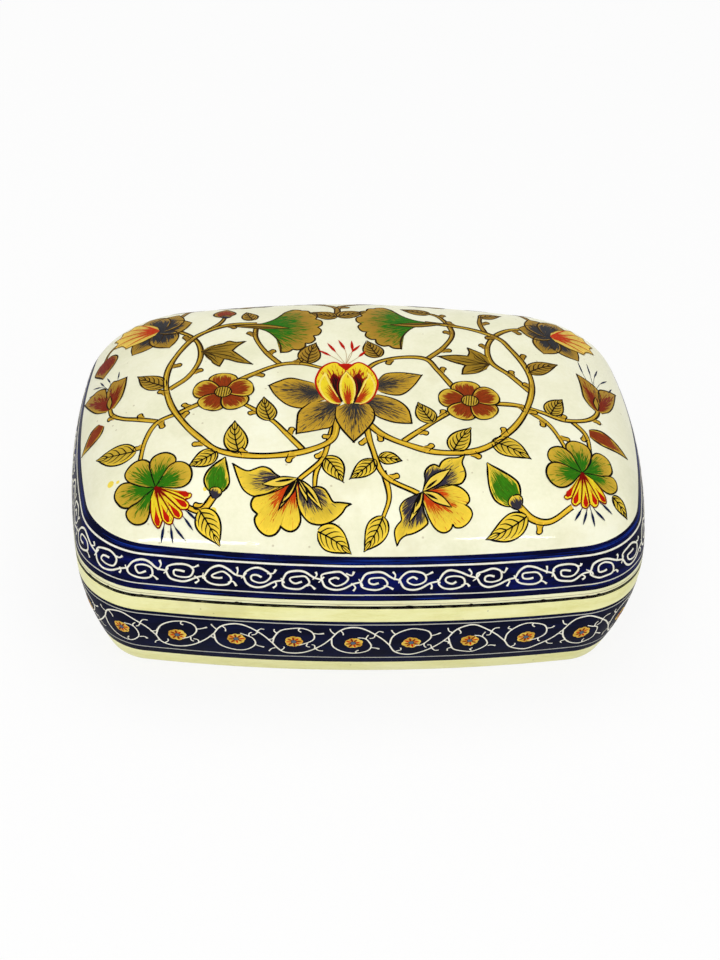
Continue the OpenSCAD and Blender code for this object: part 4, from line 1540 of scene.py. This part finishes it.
class BOX_OT_studio(Operator):
    """Set the floor, the soft lights and the camera"""

    bl_idname = "papier_box.studio"
    bl_label = "Studio"

    FLOOR_SIDE = 6.0
    # The world's strength on the object, and the lamps: name, place, size and power
    ROOM = 0.36
    LAMPS = (("overhead", (0.0, 0.1, 1.1), (1.2, 0.9), 6.8), ("window", (-0.5, -0.95, 0.9), (0.5, 0.7), 2.2),
             ("fill", (0.9, -0.7, 0.7), (0.5, 0.7), 1.7),
             ("low_front", (-0.15, -0.69, 0.19), (0.3, 0.1), 1.0),
             ("glint_left", (-0.27, -0.68, 0.165), (0.3, 0.045), 1.25),
             ("glint_right", (0.25, -0.7, 0.25), (0.14, 0.032), 0.45))
    # The lamps are turned to this place, in the middle of the box.
    AIM = Vector((0, 0, 0.03))

    def execute(self, context):
        scene = context.scene
        self.floor()
        self.room(scene)
        for lamp in self.LAMPS:
            self.lamp(scene, *lamp)
        self.camera(scene, scene.studio_setup)
        scene.view_settings.view_transform = "Standard"
        return {"FINISHED"}

    @staticmethod
    def seen(nodes):
        """1 where the camera or a reflection looks at a surface, and 0 where it only gives light."""
        path = nodes.add("ShaderNodeLightPath")
        return nodes.math("MAXIMUM", path.outputs["Is Camera Ray"], path.outputs["Is Glossy Ray"])

    def floor(self):
        """A pale floor that looks nearly white and keeps the box's shadow."""
        material, nodes, shader = new_material("studio_floor")
        tree = nodes.tree
        grain = nodes.noise(nodes.place(), 240.0, 3.0)
        pale = nodes.ramp(grain, ((0, (0.93, 0.93, 0.92)), (1, (0.96, 0.96, 0.955))))
        tree.links.new(pale, shader.inputs["Base Color"])
        shader.inputs["Roughness"].default_value = 0.85
        shader.inputs["Specular IOR Level"].default_value = 0.1
        share = nodes.math("MULTIPLY", self.seen(nodes), 0.86)
        white = nodes.add("ShaderNodeEmission", Strength=1.0)
        both = nodes.add("ShaderNodeMixShader", i0=share, i1=shader.outputs[0], i2=white.outputs[0])
        tree.links.new(both.outputs[0], tree.nodes["Material Output"].inputs["Surface"])
        half, bottom = self.FLOOR_SIDE / 2, float(CAD_BOUNDS[0][2])
        corners = [(half * x, half * y, bottom) for x, y in ((-1, -1), (1, -1), (1, 1), (-1, 1))]
        make_object("studio_floor", corners, [(0, 1, 2, 3)], [material], smooth=False)

    def room(self, scene):
        """A white world, plain where it lights the box and full white where it is looked at."""
        scene.world = bpy.data.worlds.new("studio")
        scene.world.use_nodes = True
        nodes = Nodes(scene.world.node_tree)
        sky = nodes.tree.nodes["Background"]
        sky.inputs["Color"].default_value = (1, 1, 1, 1)
        nodes.tree.links.new(nodes.span(self.seen(nodes), 0.0, 1.0, self.ROOM, 1.0), sky.inputs["Strength"])

    def lamp(self, scene, name, place, size, power):
        """A soft lamp. The glints only show in the lacquer, and the other lamps only light the box."""
        data = bpy.data.lights.new(name, "AREA")
        data.shape = "RECTANGLE"
        data.size, data.size_y = size
        data.energy = power
        lamp = bpy.data.objects.new(name, data)
        lamp.location = place
        glint = name.startswith("glint")
        lamp.visible_glossy, lamp.visible_diffuse = glint, not glint
        lamp.rotation_euler = (self.AIM - Vector(place)).to_track_quat("-Z", "Y").to_euler()
        scene.collection.objects.link(lamp)

    @staticmethod
    def camera(scene, setup):
        """The photo's camera, placed by its angles, its distance and where it aims."""
        e, roll = math.radians(setup.elevation), math.radians(setup.roll)
        right, up = Vector((1, 0, 0)), Vector((0, math.sin(e), math.cos(e)))
        forward = Vector((0, math.cos(e), -math.sin(e)))
        turned_right = math.cos(roll) * right - math.sin(roll) * up
        turned_up = math.sin(roll) * right + math.cos(roll) * up
        axes = Matrix((turned_right, turned_up, -forward)).transposed().to_4x4()
        axes.translation = -setup.right * right - setup.up * up - setup.distance * forward
        data = bpy.data.cameras.new("photo_camera")
        data.sensor_fit = "VERTICAL"
        data.sensor_height = 36
        data.lens = setup.lens
        data.clip_start, data.clip_end = 0.01, 20
        camera = bpy.data.objects.new("photo_camera", data)
        camera.matrix_world = Matrix.Rotation(-math.radians(setup.yaw), 4, "Z") @ axes
        scene.collection.objects.link(camera)
        scene.camera = camera


class BOX_PT_looks(Panel):
    """Lists the box's pieces in build order"""

    bl_idname = "BOX_PT_looks"
    bl_label = "Papier mache box"
    bl_space_type = "VIEW_3D"
    bl_region_type = "UI"
    bl_category = "Papier mache"

    def draw(self, context):
        for operator in PIECES:
            self.layout.operator(operator.bl_idname)
        for name in SETTINGS:
            group = getattr(context.scene, name)
            box = self.layout.box()
            for value in group.__annotations__:
                box.prop(group, value)


PIECES = (BOX_OT_base_shell, BOX_OT_rim_collar, BOX_OT_lid_shell, BOX_OT_lid_border, BOX_OT_base_border,
          BOX_OT_lid_panel, BOX_OT_wear, BOX_OT_studio)
SETTINGS = {"box_form": BoxForm, "paint_plan": PaintPlan, "studio_setup": StudioSetup}
CLASSES = (*SETTINGS.values(), *PIECES, BOX_PT_looks)


def register():
    for cls in CLASSES:
        bpy.utils.register_class(cls)
    for name, group in SETTINGS.items():
        setattr(bpy.types.Scene, name, PointerProperty(type=group))


def unregister():
    for name in SETTINGS:
        delattr(bpy.types.Scene, name)
    for cls in reversed(CLASSES):
        bpy.utils.unregister_class(cls)


def main():
    register()
    bpy.ops.papier_box.base_shell()
    bpy.ops.papier_box.rim_collar()
    bpy.ops.papier_box.lid_shell()
    bpy.ops.papier_box.lid_border()
    bpy.ops.papier_box.base_border()
    bpy.ops.papier_box.lid_panel()
    bpy.ops.papier_box.wear()
    bpy.ops.papier_box.studio()


if __name__ == "__main__":
    main()
